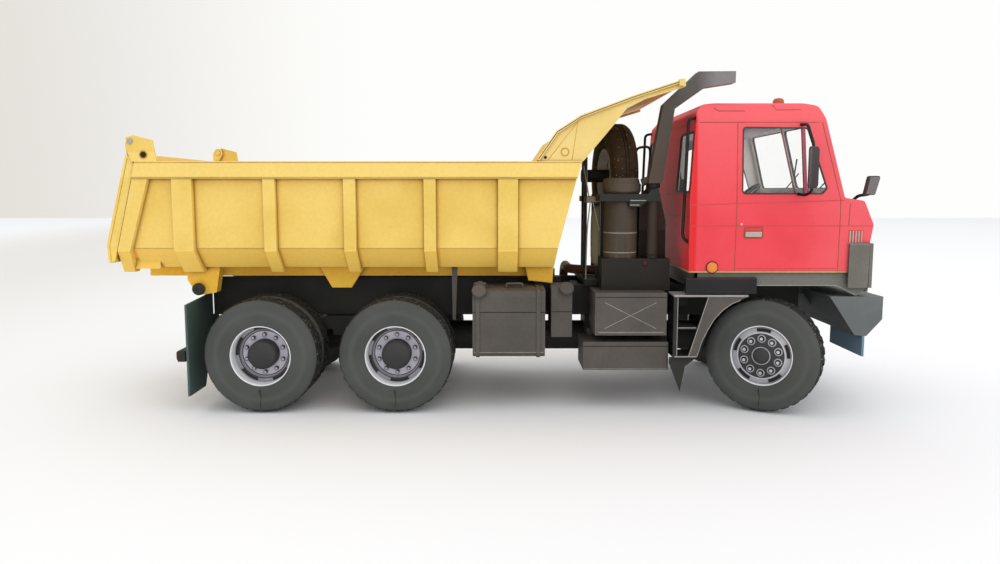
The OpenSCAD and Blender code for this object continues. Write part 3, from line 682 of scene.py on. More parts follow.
class Draft:
    """Points and faces of one piece being cut out, in millimetres."""

    def __init__(self) -> None:
        """Starts with an empty sheet."""
        self.points: list[Vector] = []
        self.faces: list[tuple[tuple[int, ...], int]] = []

    def add(self, points: Iterable[Point], faces: Iterable[Sequence[int]], ink: int = 0) -> None:
        """Adds points, and faces that count from the first of them."""
        base = len(self.points)
        self.points.extend(Vector(p) for p in points)
        self.faces.extend((tuple(base + i for i in f), ink) for f in faces)

    def slab(self, loop: Sequence[Flat], place: Place, low: float, high: float, ink: int = 0,
             rim: int | None = None) -> None:
        """Adds a plate cut to an outline.

        Args:
            loop: the outline.
            place: turns (u, v, w) into a point.
            low: w of one face.
            high: w of the other face.
            ink: finish number of the faces.
            rim: finish number of the cut edge, the same as the faces by default.
        """
        n = len(loop)
        base = len(self.points)
        self.points.extend(Vector(place(u, v, w)) for w in (low, high) for u, v in loop)
        self.faces.append((tuple(base + i for i in range(n)), ink))
        self.faces.append((tuple(base + n + i for i in reversed(range(n))), ink))
        for i in range(n):
            j = (i + 1) % n
            quad = (base + i, base + j, base + n + j, base + n + i)
            self.faces.append((quad, ink if rim is None else rim))

    def ring(self, outer: Sequence[Flat], inner: Sequence[Flat], place: Place, low: float,
             high: float, ink: int = 0) -> None:
        """Adds a flat frame between two outlines with as many corners.

        Args:
            outer: outer outline.
            inner: inner outline.
            place: turns (u, v, w) into a point.
            low: w of one face.
            high: w of the other face.
            ink: finish number.
        """
        n = len(outer)
        rows = [place(u, v, w) for w, loop in ((low, outer), (high, outer), (high, inner),
                                               (low, inner)) for u, v in loop]
        faces = [(r * n + i, r * n + (i + 1) % n, (r + 1) % 4 * n + (i + 1) % n,
                  (r + 1) % 4 * n + i) for r in range(4) for i in range(n)]
        self.add(rows, faces, ink)

    def line(self, path: Sequence[Flat], width: float, place: Place, low: float = -0.06,
             high: float = 0.05, ink: int = 0) -> None:
        """Adds a thin strip along an open path: print, a glued joint, or a line of painted shade or
        sheen.

        Args:
            path: points of its middle.
            width: its width.
            place: turns (u, v, w) into a point.
            low: w of its back.
            high: w of its face.
            ink: finish number.
        """
        left, right = [], []
        for i, point in enumerate(path):
            here = Vector(point)
            ways = [(Vector(b) - Vector(a)).normalized() for a, b in
                    ((path[i - 1], point) if i else (point, path[1]),
                     (point, path[i + 1]) if i + 1 < len(path) else (path[i - 1], point))]
            n1, n2 = (Vector((-d.y, d.x)) for d in ways)
            step = (n1 + n2) / max(0.4, 1 + n1.dot(n2)) * width / 2
            left.append(tuple(here + step))
            right.append(tuple(here - step))
        for i in range(len(path) - 1):
            self.slab([left[i], left[i + 1], right[i + 1], right[i]], place, low, high, ink)

    def box(self, low: Point, high: Point, ink: int = 0) -> None:
        """Adds a box between two corners."""
        outline = [(low[0], low[1]), (high[0], low[1]), (high[0], high[1]), (low[0], high[1])]
        self.slab(outline, top_view, low[2], high[2], ink)

    def spin(self, profile: Sequence[Flat], steps: int = 64, inks: Sequence[int] | int = 0,
             closed: bool = False, ripple: Callable[[int, int], float] | None = None) -> None:
        """Adds a turned piece about the local Z axis.

        Args:
            profile: (radius, z) points.
            steps: flats round the axis.
            inks: finish number, or one for each stretch of the profile.
            closed: joins the last point to the first.
            ripple: gives what to take off the radius for (profile row, step).
        """
        rows: list[list[int]] = []
        for k, (r, z) in enumerate(profile):
            if r < 1e-6:
                rows.append([len(self.points)] * steps)
                self.points.append(Vector((0, 0, z)))
                continue
            rows.append([])
            for i in range(steps):
                turn = 2 * math.pi * i / steps
                size = r - (ripple(k, i) if ripple else 0.0)
                rows[-1].append(len(self.points))
                self.points.append(Vector((size * math.cos(turn), size * math.sin(turn), z)))
        for k in range(len(rows) if closed else len(rows) - 1):
            a, b = rows[k], rows[(k + 1) % len(rows)]
            ink = inks if isinstance(inks, int) else inks[k % len(inks)]
            for i in range(steps):
                j = (i + 1) % steps
                quad = list(dict.fromkeys((a[i], a[j], b[j], b[i])))
                if len(quad) > 2:
                    self.faces.append((tuple(quad), ink))

    def post(self, foot: Point, way: Point, profile: Sequence[Flat], steps: int = 24,
             inks: Sequence[int] | int = 0) -> None:
        """Adds a turned piece that stands on a point.

        Args:
            foot: where local zero is.
            way: direction of its axis.
            profile: (radius, z) points.
            steps: flats round the axis.
            inks: finish numbers.
        """
        mark = len(self.points)
        self.spin(profile, steps, inks)
        turn = Vector((0, 0, 1)).rotation_difference(Vector(way)).to_matrix().to_4x4()
        self.move(Matrix.Translation(foot) @ turn, mark)

    def tube(self, path: Sequence[Point], radius: float, ink: int = 0, bend: float = 2.0,
             steps: int = 12) -> None:
        """Adds a bent rod with flat ends.

        Args:
            path: corners of its middle line.
            radius: its radius.
            ink: finish number.
            bend: how far each bend reaches along its legs.
            steps: flats round it.
        """
        middle: list[Vector] = [Vector(path[0])]
        for i in range(1, len(path) - 1):
            here = Vector(path[i])
            back, ahead = Vector(path[i - 1]) - here, Vector(path[i + 1]) - here
            cut = min(bend, back.length * 0.45, ahead.length * 0.45)
            first, last = here + back.normalized() * cut, here + ahead.normalized() * cut
            for k in range(7):
                t = k / 6
                middle.append(first * (1 - t) ** 2 + here * 2 * t * (1 - t) + last * t * t)
        middle.append(Vector(path[-1]))
        way = (middle[1] - middle[0]).normalized()
        across = way.orthogonal().normalized()
        base = len(self.points)
        for i, point in enumerate(middle):
            ahead = middle[min(i + 1, len(middle) - 1)] - middle[max(i - 1, 0)]
            now = ahead.normalized()
            across = way.rotation_difference(now) @ across
            way = now
            other = way.cross(across)
            for k in range(steps):
                turn = 2 * math.pi * k / steps
                self.points.append(point + (across * math.cos(turn) + other * math.sin(turn))
                                   * radius)
        for i in range(len(middle) - 1):
            for k in range(steps):
                j = (k + 1) % steps
                a, b = base + i * steps, base + (i + 1) * steps
                self.faces.append(((a + k, a + j, b + j, b + k), ink))
        end = base + (len(middle) - 1) * steps
        self.faces.append((tuple(base + k for k in reversed(range(steps))), ink))
        self.faces.append((tuple(end + k for k in range(steps)), ink))

    def move(self, matrix: Matrix, mark: int = 0) -> None:
        """Moves the points added since a mark."""
        self.points[mark:] = [matrix @ p for p in self.points[mark:]]

    def mirror(self, mark: int = 0) -> None:
        """Repeats on the other side of the truck what was added since a mark."""
        shift = len(self.points) - mark
        self.points.extend([Vector((p.x, -p.y, p.z)) for p in self.points[mark:]])
        self.faces.extend([(tuple(i + shift for i in reversed(f)), ink)
                           for f, ink in self.faces if min(f) >= mark])

    def mesh(self, name: str, finishes: Sequence[Finish], angle: float = 32.0) -> bpy.types.Mesh:
        """Turns the sheet into a mesh in metres.

        Args:
            name: mesh name.
            finishes: finish of each ink number.
            angle: folds sharper than this stay crisp, in degrees.

        Returns:
            The mesh.
        """
        made = bpy.data.meshes.new(name)
        made.from_pydata([tuple(p * MM) for p in self.points], [], [f for f, _ in self.faces])
        for finish in finishes:
            made.materials.append(finish.material())
        made.polygons.foreach_set("material_index", [ink for _, ink in self.faces])
        work = bmesh.new()
        work.from_mesh(made)
        bmesh.ops.recalc_face_normals(work, faces=work.faces)
        work.to_mesh(made)
        work.free()
        made.shade_smooth()
        made.set_sharp_from_angle(angle=math.radians(angle))
        return made

    def make(self, name: str, body: str, *finishes: Finish, edge: float = 0.0,
             stands_for: Sequence[str] = (), slot: str | None = None,
             angle: float = 32.0) -> bpy.types.Object:
        """Makes the piece and hangs it on a body.

        Args:
            name: piece name.
            body: body that it rides on.
            finishes: finish of each ink number.
            edge: width of the softened folds in mm.
            stands_for: CAD nodes that it replaces.
            slot: not used.
            angle: folds sharper than this stay crisp, in degrees.

        Returns:
            The new object.
        """
        return hang(name, self.mesh(name, finishes, angle), body, edge, stands_for)


def hang(name: str, mesh: bpy.types.Mesh, body: str, edge: float = 0.0,
         stands_for: Sequence[str] = (),
         at: Matrix | None = None) -> bpy.types.Object:
    """Places a mesh as a piece that rides on a body.

    Args:
        name: piece name.
        mesh: its mesh.
        body: body that it rides on.
        edge: width of the softened folds in mm.
        stands_for: CAD nodes that it replaces.
        at: its place, with millimetre translation.

    Returns:
        The new object.
    """
    piece = bpy.data.objects.new(name, mesh)
    bpy.context.scene.collection.objects.link(piece)
    if at is not None:
        place = at.copy()
        place.translation = at.translation * MM
        piece.matrix_world = place
    if edge:
        soften(piece, edge)
    bpy.context.view_layer.update()
    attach(piece, body)
    if stands_for:
        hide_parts(*stands_for)
    log.info("%s: %d faces on %s", name, len(mesh.polygons), body)
    return piece


def soften(piece: bpy.types.Object, edge: float, angle: float = 30.0) -> None:
    """Rounds a piece's folds a little.

    Args:
        piece: the piece.
        edge: width in mm.
        angle: folds flatter than this are left, in degrees.
    """
    bevel = piece.modifiers.new("softened_folds", "BEVEL")
    bevel.width = edge * MM
    bevel.segments = 2
    bevel.limit_method = "ANGLE"
    bevel.angle_limit = math.radians(angle)
    bevel.harden_normals = True


def dress(node: str, finish: Finish, edge: float = 0.12) -> None:
    """Gives a node of the frame its finish and softened folds.

    Args:
        node: node name.
        finish: its finish.
        edge: width of the softened folds in mm, 0 for none.
    """
    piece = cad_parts[node]
    if not piece.material_slots:
        piece.data.materials.append(finish.material())
    for held in piece.material_slots:
        held.material = finish.material()
    if edge:
        weld = piece.modifiers.new("joined_points", "WELD")
        weld.merge_threshold = 0.00002
        flat = piece.modifiers.new("whole_flats", "DECIMATE")
        flat.decimate_type = "DISSOLVE"
        flat.angle_limit = math.radians(1.0)
        soften(piece, edge)
    log.info("%s dressed in %s", node, finish.name)


def carved(base: Draft, cuts: Sequence[tuple[Draft, str]]) -> Draft:
    """Cuts or joins solids.

    Args:
        base: the solid to start from.
        cuts: (solid, "DIFFERENCE" or "INTERSECT") in order.

    Returns:
        The result as a new draft that keeps the ink numbers.
    """
    spare: list[bpy.types.Object] = []

    def solid(draft: Draft) -> bpy.types.Object:
        """Makes a temporary object, at one unit a millimetre."""
        mesh = bpy.data.meshes.new("spare")
        mesh.from_pydata([tuple(p) for p in draft.points], [], [f for f, _ in draft.faces])
        for _ in range(8):
            mesh.materials.append(None)
        mesh.polygons.foreach_set("material_index", [ink for _, ink in draft.faces])
        work = bmesh.new()
        work.from_mesh(mesh)
        bmesh.ops.recalc_face_normals(work, faces=work.faces)
        work.to_mesh(mesh)
        work.free()
        piece = bpy.data.objects.new("spare", mesh)
        bpy.context.scene.collection.objects.link(piece)
        spare.append(piece)
        return piece

    start = solid(base)
    for draft, kind in cuts:
        step = start.modifiers.new("cut", "BOOLEAN")
        step.operation = kind
        step.solver = "EXACT"
        step.object = solid(draft)
    bpy.context.view_layer.update()
    done = start.evaluated_get(bpy.context.evaluated_depsgraph_get())
    mesh = bpy.data.meshes.new_from_object(done)
    result = Draft()
    result.points = [v.co.copy() for v in mesh.vertices]
    result.faces = [(tuple(p.vertices), p.material_index) for p in mesh.polygons]
    for piece in spare:
        data = piece.data
        bpy.data.objects.remove(piece)
        bpy.data.meshes.remove(data)
    bpy.data.meshes.remove(mesh)
    return result


# ---- wheels --------------------------------------------------------------


@dataclass
class Tyre:
    """One tyre: smooth walls, round shoulders and a tread of separate blocks."""

    radius: float = 17.6
    rim: float = 9.2
    width: float = 9.6
    blocks: int = 32
    flats: int = 9
    groove: float = 0.28

    def rows(self) -> list[tuple[float, float, int]]:
        """Lists the profile.

        Returns:
            (radius, z, tread column) for each row; column 0 has no blocks.
        """
        wall = [(self.rim, -1.3, 0), (self.rim + 0.15, -0.8, 0), (10.2, -0.42, 0),
                (11.4, -0.14, 0), (12.8, 0.0, 0), (14.4, -0.02, 0), (15.5, -0.16, 0),
                (16.2, -0.42, 0), (16.75, -0.8, 0), (17.1, -1.2, 0), (17.4, -1.7, 1),
                (17.58, -2.2, 1), (17.6, -3.5, 1)]
        half = wall + [(17.05, -3.62, 0), (17.05, -3.92, 0), (17.6, -4.04, 2)]
        return half + [(r, -self.width - z, {0: 0, 1: 3, 2: 2}[c]) for r, z, c in reversed(half)]

    def draft(self, depth: float = 0.0) -> Draft:
        """Draws the tyre.

        Args:
            depth: how far inboard its outer wall is.

        Returns:
            The draft about local Z, with ink 0 on the walls and 1 on the tread.
        """
        rows = self.rows()

        def ripple(row: int, step: int) -> float:
            """Depth of the cross grooves at one point."""
            column = rows[row][2]
            if not column:
                return 0.0
            place = (step + column * 3) % self.flats
            fade = 0.45 if rows[row][0] < 17.5 else 1.0
            return self.groove * fade if place < 3 and place != 3 else 0.0

        sheet = Draft()
        inks = [1 if min(rows[k][0], rows[(k + 1) % len(rows)][0]) > 17.0 else 0
                for k in range(len(rows))]
        sheet.spin([(r, z) for r, z, _ in rows], self.blocks * self.flats, inks, True, ripple)
        sheet.move(Matrix.Translation((0, 0, -depth)))
        return sheet

    def seam(self, sheet: Draft, depth: float = 0.0) -> None:
        """Adds the glued joint on the wall, near the ground."""
        sheet.line([(-0.4, -10.3), (0.1, -12.6), (-0.2, -15.6)], 0.14, top_view, -0.3 - depth,
                   0.03 - depth, 2)


@dataclass
class FrontRim:
    """Flat nut disc with a domed cap, slotted ring and white lip."""

    nuts: int = 10
    pitch: float = 5.3
    slots: int = 5

    def draft(self) -> Draft:
        """Draws the rim.

        Returns:
            The draft: inks 0 disc, 1 ring, 2 lip, 3 pale ring and painted highlight on each nut, 4 line.
        """
        sheet = Draft()
        profile = [(0, 0.3), (0.8, 0.26), (1.5, 0.12), (2.1, -0.14), (2.4, -0.42), (2.45, -0.8),
                   (6.9, -0.9), (7.3, -1.05), (7.7, -1.2), (8.5, -1.35), (8.9, -1.5), (8.95, -1.0),
                   (9.0, -0.8), (9.15, -0.68), (9.3, -0.7), (9.35, -0.9), (9.2, -1.0),
                   (9.2, -9.0), (8.6, -9.0), (8.6, -4.2), (2.8, -3.6), (2.8, -4.6), (1.5, -4.6),
                   (1.5, -1.4), (0, -1.4)]
        inks = [0] * 6 + [1] * 4 + [2] * 8 + [0] * 6
        sheet.spin(profile, 96, inks)
        sheet.spin([(2.5, -0.85), (2.52, -0.62), (2.78, -0.62), (2.8, -0.85)], 64, 1)
        sheet.spin([(6.95, -1.0), (6.98, -0.8), (7.2, -0.8), (7.3, -1.1)], 96, 3)
        for i in range(self.nuts):
            turn = 2 * math.pi * (i + 0.5) / self.nuts
            foot = (self.pitch * math.cos(turn), self.pitch * math.sin(turn), -0.9)
            sheet.post(foot, (0, 0, 1), [(1.25, 0), (1.22, 0.1), (1.0, 0.16), (0.9, 0.12)], 20, 1)
            sheet.post(foot, (0, 0, 1), [(0.92, 0.1), (0.72, 0.3), (0.62, 0.62), (0.5, 0.7)], 18, 4)
            # Painted highlight: a small pale cap on top of each dark nut dome.
            sheet.post((foot[0], foot[1], -0.3), (0, 0, 1), [(0.52, 0), (0.46, 0.16),
                                                            (0.24, 0.26), (0, 0.29)], 16, 3)
        add_slots(sheet, self.slots, 7.45, 8.5, -1.7, -1.1, math.radians(15), 4, 0.25)
        return sheet


def add_slots(sheet: Draft, count: int, inner: float, outer: float, low: float, high: float,
              half: float, ink: int, start: float) -> None:
    """Adds the dark hand holes round a rim's ring.

    Args:
        sheet: draft that they go on.
        count: how many.
        inner: inner radius.
        outer: outer radius.
        low: z of their backs.
        high: z of their faces.
        half: half the angle of each, in radians.
        ink: finish number.
        start: turn of the first, in radians.
    """
    for i in range(count):
        middle = start + 2 * math.pi * i / count
        arc = [middle + half * (k / 6 - 1) for k in range(13)]
        loop = [(outer * math.cos(t), outer * math.sin(t)) for t in arc]
        loop += [(inner * math.cos(t), inner * math.sin(t)) for t in reversed(arc)]
        sheet.slab(loop, top_view, low, high, ink)


@dataclass
class RearRim:
    """Deep rim for two tyres, with a long hub, nut ring and hand holes."""

    nuts: int = 10
    pitch: float = 5.9
    slots: int = 5
    depth: float = 20.2
    turn: float = 0.0

    def draft(self) -> Draft:
        """Draws the rim.

        Returns:
            The draft: inks 0 disc, 1 ring, 2 lip and barrel, 3 painted highlight on each nut, 4 hub and
                lines.
        """
        sheet = Draft()
        profile = [(0, -1.45), (2.0, -1.5), (3.4, -1.66), (4.1, -2.0), (4.4, -2.5), (4.5, -3.2),
                   (4.5, -6.4), (7.2, -6.4), (7.4, -6.2), (7.6, -5.5), (7.8, -5.2), (8.9, -5.1),
                   (8.95, -1.0), (9.0, -0.8), (9.15, -0.68), (9.3, -0.7), (9.35, -0.9),
                   (9.2, -1.0), (9.2, 0.6 - self.depth), (8.6, 0.6 - self.depth), (8.6, -8.4),
                   (3.4, -8.4), (3.4, -10.4), (1.5, -10.4), (1.5, -3.4), (0, -3.4)]
        inks = [4] * 6 + [0] * 2 + [1] * 3 + [2] * 9 + [0] * 5
        sheet.spin(profile, 96, inks)
        sheet.spin([(6.95, -6.45), (7.0, -6.28), (7.2, -6.26), (7.25, -6.4)], 96, 4)
        sheet.spin([(7.65, -5.3), (7.7, -5.08), (7.86, -5.05), (7.9, -5.2)], 96, 4)
        for i in range(self.nuts):
            turn = 2 * math.pi * (i + 0.5) / self.nuts
            foot = (self.pitch * math.cos(turn), self.pitch * math.sin(turn), -6.4)
            sheet.post(foot, (0, 0, 1), [(0.62, 0), (0.6, 0.9), (0.42, 1.0)], 14, 4)
            # Painted highlight: a small pale cap on the end of each dark nut.
            sheet.post((foot[0], foot[1], -5.5), (0, 0, 1), [(0.42, 0), (0.4, 0.18), (0, 0.22)],
                       14, 3)
        add_slots(sheet, self.slots, 7.95, 8.8, -5.6, -5.02, math.radians(20), 4, self.turn)
        return sheet


@dataclass
class Wheels:
    """All road wheels: steered singles in front, twins behind, on their own axles."""

    axle_z: float = 17.6
    track: float = 39.0
    kingpin_x: float = 84.0
    kingpin_y: float = 32.0
    steer: float = -29.0
    twin_gap: float = 10.6
    tyre: Tyre = field(default_factory=Tyre)

    def seat(self, x: float, side: int, steered: bool = False) -> Matrix:
        """Where a wheel stands.

        Args:
            x: axle's place along the truck.
            side: -1 right, 1 left.
            steered: turned about its kingpin.

        Returns:
            The wheel's placement in millimetres, its local Z outwards.
        """
        place = Matrix.Translation((x, side * self.track, self.axle_z)) @ Matrix.Rotation(
            math.radians(-90 * side), 4, "X")
        if steered:
            pin = Vector((self.kingpin_x, side * self.kingpin_y, 0))
            turn = Matrix.Rotation(math.radians(self.steer), 4, "Z")
            place = Matrix.Translation(pin) @ turn @ Matrix.Translation(-pin) @ place
        return place

    def build(self) -> None:
        """Makes and places every road wheel."""
        single = self.tyre.draft()
        self.tyre.seam(single)
        single_mesh = single.mesh("tyre_single", (RUBBER, TREAD, INKLINE), 38)
        pair = self.tyre.draft()
        self.tyre.seam(pair)
        inner = self.tyre.draft(self.twin_gap)
        pair.add(inner.points, [f for f, ink in inner.faces if ink == 0], 0)
        base = len(pair.points) - len(inner.points)
        pair.faces += [(tuple(base + i for i in f), 1) for f, ink in inner.faces if ink == 1]
        pair_mesh = pair.mesh("tyre_pair", (RUBBER, TREAD, INKLINE), 38)
        front = FrontRim().draft().mesh("rim_front", (HUB, STEEL_RING, LIP, PALE_RING_AND_NUT_HIGHLIGHT, INKLINE), 38)
        for side, word in ((-1, "right"), (1, "left")):
            body = f"front_{word}_wheel"
            seat = self.seat(self.kingpin_x, side, True)
            hang(f"tyre_front_{word}_detail", single_mesh, body, 0, (f"tyre_front_{word}",),
                 seat)
            hang(f"rim_front_{word}_detail", front, body, 0, (f"wheel_front_{word}",),
                 seat)
            for axle, x, turn in (("middle", -31.0, 59), ("rear", -72.25, 91)):
                rim = RearRim(turn=math.radians(turn)).draft().mesh(
                    f"rim_{axle}_{word}", (DISC, STEEL_RING, LIP, PALE_RING_AND_NUT_HIGHLIGHT, HUB), 38)
                seat = self.seat(x, side)
                body = f"{axle}_{word}_wheel"
                hang(f"tyres_{axle}_{word}_detail", pair_mesh, body, 0,
                     (f"tyres_{axle}_{word}",), seat)
                hang(f"rim_{axle}_{word}_detail", rim, body, 0, (f"wheel_{axle}_{word}",),
                     seat)


@dataclass
class SpareWheel:
    """Spare wheel that stands across the truck behind the cab, and its frame."""

    face_x: float = 44.4
    centre_z: float = 72.9
    twist: float = 7.0

    def build(self) -> None:
        """Makes the spare wheel, its frame and what hangs on the frame."""
        seat = Matrix.Translation((self.face_x, 0, self.centre_z)) @ Matrix.Rotation(
            math.radians(self.twist), 4, "Z") @ Matrix.Rotation(math.radians(90), 4, "Y")
        tyre = Tyre(width=8.6).draft().mesh("spare_tyre_mesh", (SPARE, SPARE), 38)
        hang("spare_tyre_detail", tyre, "chassis", 0, ("spare_tyre",), seat)
        sheet = Draft()
        sheet.spin([(2.2, -1.2), (6.9, -1.2), (7.4, -1.5), (8.0, -2.8), (8.6, -2.8), (8.6, -1.0),
                    (8.8, -0.66), (9.15, -0.52), (9.5, -0.56), (9.55, -0.9), (9.2, -1.0),
                    (9.2, -8.0), (8.6, -8.0), (8.6, -4.0), (7.6, -3.4), (2.2, -3.4)], 96,
                   [0] * 4 + [1] * 9 + [0] * 3, True)
        for i in range(10):
            turn = 2 * math.pi * i / 10
            for z, way in ((-1.25, 1), (-3.35, -1)):
                sheet.post((5.4 * math.cos(turn), 5.4 * math.sin(turn), z), (0, 0, way),
                           [(0.7, 0), (0.68, 0.1), (0, 0.12)], 16, 2)
        rim = sheet.mesh("spare_rim_mesh", (DISC, LIP, INKLINE), 38)
        hang("spare_rim_detail", rim, "chassis", 0, ("spare_rim",), seat)
        self.frame()
        self.bottle()
        self.lashing()

    def frame(self) -> None:
        """Makes the posts, beams and arm that hold the wheel."""
        sheet = Draft()
        sheet.slab([(28.6, -19), (35.2, -19), (36.6, 19), (28.6, 19)], top_view, 37, 39)
        for side, shift in ((-1, 0.0), (1, 1.4)):
            for x0, x1, y0, y1, z0, z1 in ((33.3, 35.2, 17.2, 18.8, 38.8, 66.6),
                                           (28.8, 30.0, 9.2, 10.8, 38.8, 79),
                                           (28.8, 35.2, 9.2, 18.8, 64, 66)):
                low, high = sorted((side * y0, side * y1))
                sheet.box((x0 + shift, low, z0), (x1 + shift, high, z1))
        for low, high in ((77.4, 79), (70.9, 74.9)):
            sheet.slab([(28.8, -10), (30.0, -10), (31.4, 10), (30.2, 10)], top_view, low, high)
        sheet.post((29, 0, self.centre_z), (1, 0, 0), [(0, 0), (2.16, 0), (2.16, 15.9), (1.9, 16.4),
                                                       (0, 16.4)], 32)
        sheet.slab(rect(34.9, 39, 46.4, 66.4), side_view, -19.5, -18.9)
        sheet.box((31.8, -31, 64.6), (32.8, -18.7, 66.8))
        sheet.slab([(31.8, 64.6), (50.4, 64.6), (50.4, 67.0), (31.8, 66.8)], side_view, -31.1,
                   -30.4)
        sheet.slab([(46.6, 66.6), (50.3, 66.6), (49.9, 68.8), (47.4, 68.2)], side_view, -31, -30.2)
        sheet.slab([(40.8, 62.9), (44.2, 62.9), (46.2, 64.7), (40.8, 64.7)], side_view, -31, -30.4)
        sheet.make("carrier_detail", "chassis", BLACK, edge=0.12, stands_for=("spare_carrier",),
                   slot="black_card")
        lines = Draft()
        lines.line([(33.4, 39.4), (33.4, 64)], 0.2, near_side(18.8))
        lines.line([(29.9, 66.5), (29.9, 78.4)], 0.2, near_side(10.8))
        lines.line([(41.1, 64.9), (45.9, 64.9)], 0.3, near_side(31.1))
        lines.line([(41.1, 63.5), (43.9, 63.5)], 0.3, near_side(31.0))
        lines.make("carrier_lines", "chassis", PALE_LINE)

    def bottle(self) -> None:
        """Adds the upright bottle and the bracket plates between the posts."""
        sheet = Draft()
        sheet.post((34.0, -13.6, 42.8), (0, 0, 1), [(0, 0), (1.6, 0.3), (2.6, 1.4), (3.0, 3.4),
                                                    (3.1, 10.4), (3.0, 16.6), (2.5, 19), (1.6, 20.3),
                                                    (0, 20.7)], 40)
        sheet.box((32.6, -15, 38.9), (35.6, -12.2, 43.4), 1)
        sheet.slab(rounded(rect(28.9, 64.2, 33.4, 66.1), 0.2), near_side(18.8), -0.1, 0.5)
        sheet.make("carrier_bottle", "chassis", BOTTLE, BLACK, edge=0.1)

    def lashing(self) -> None:
        """Adds the thin pale wires that hold the wheel."""
        sheet = Draft()
        sheet.tube([(28.7, -11, 76), (29.6, -18.9, 66.3)], 0.2)
        sheet.tube([(30.1, -19.2, 64.3), (29.2, -19.2, 56), (28.9, -19.0, 39.2)], 0.2, 0, 3)
        sheet.tube([(30.9, -19.2, 64.3), (33.2, -19.0, 55)], 0.2)
        sheet.make("lashing_wires", "chassis", PALE_LINE, slot="black_wire")


# ---- cab -----------------------------------------------------------------


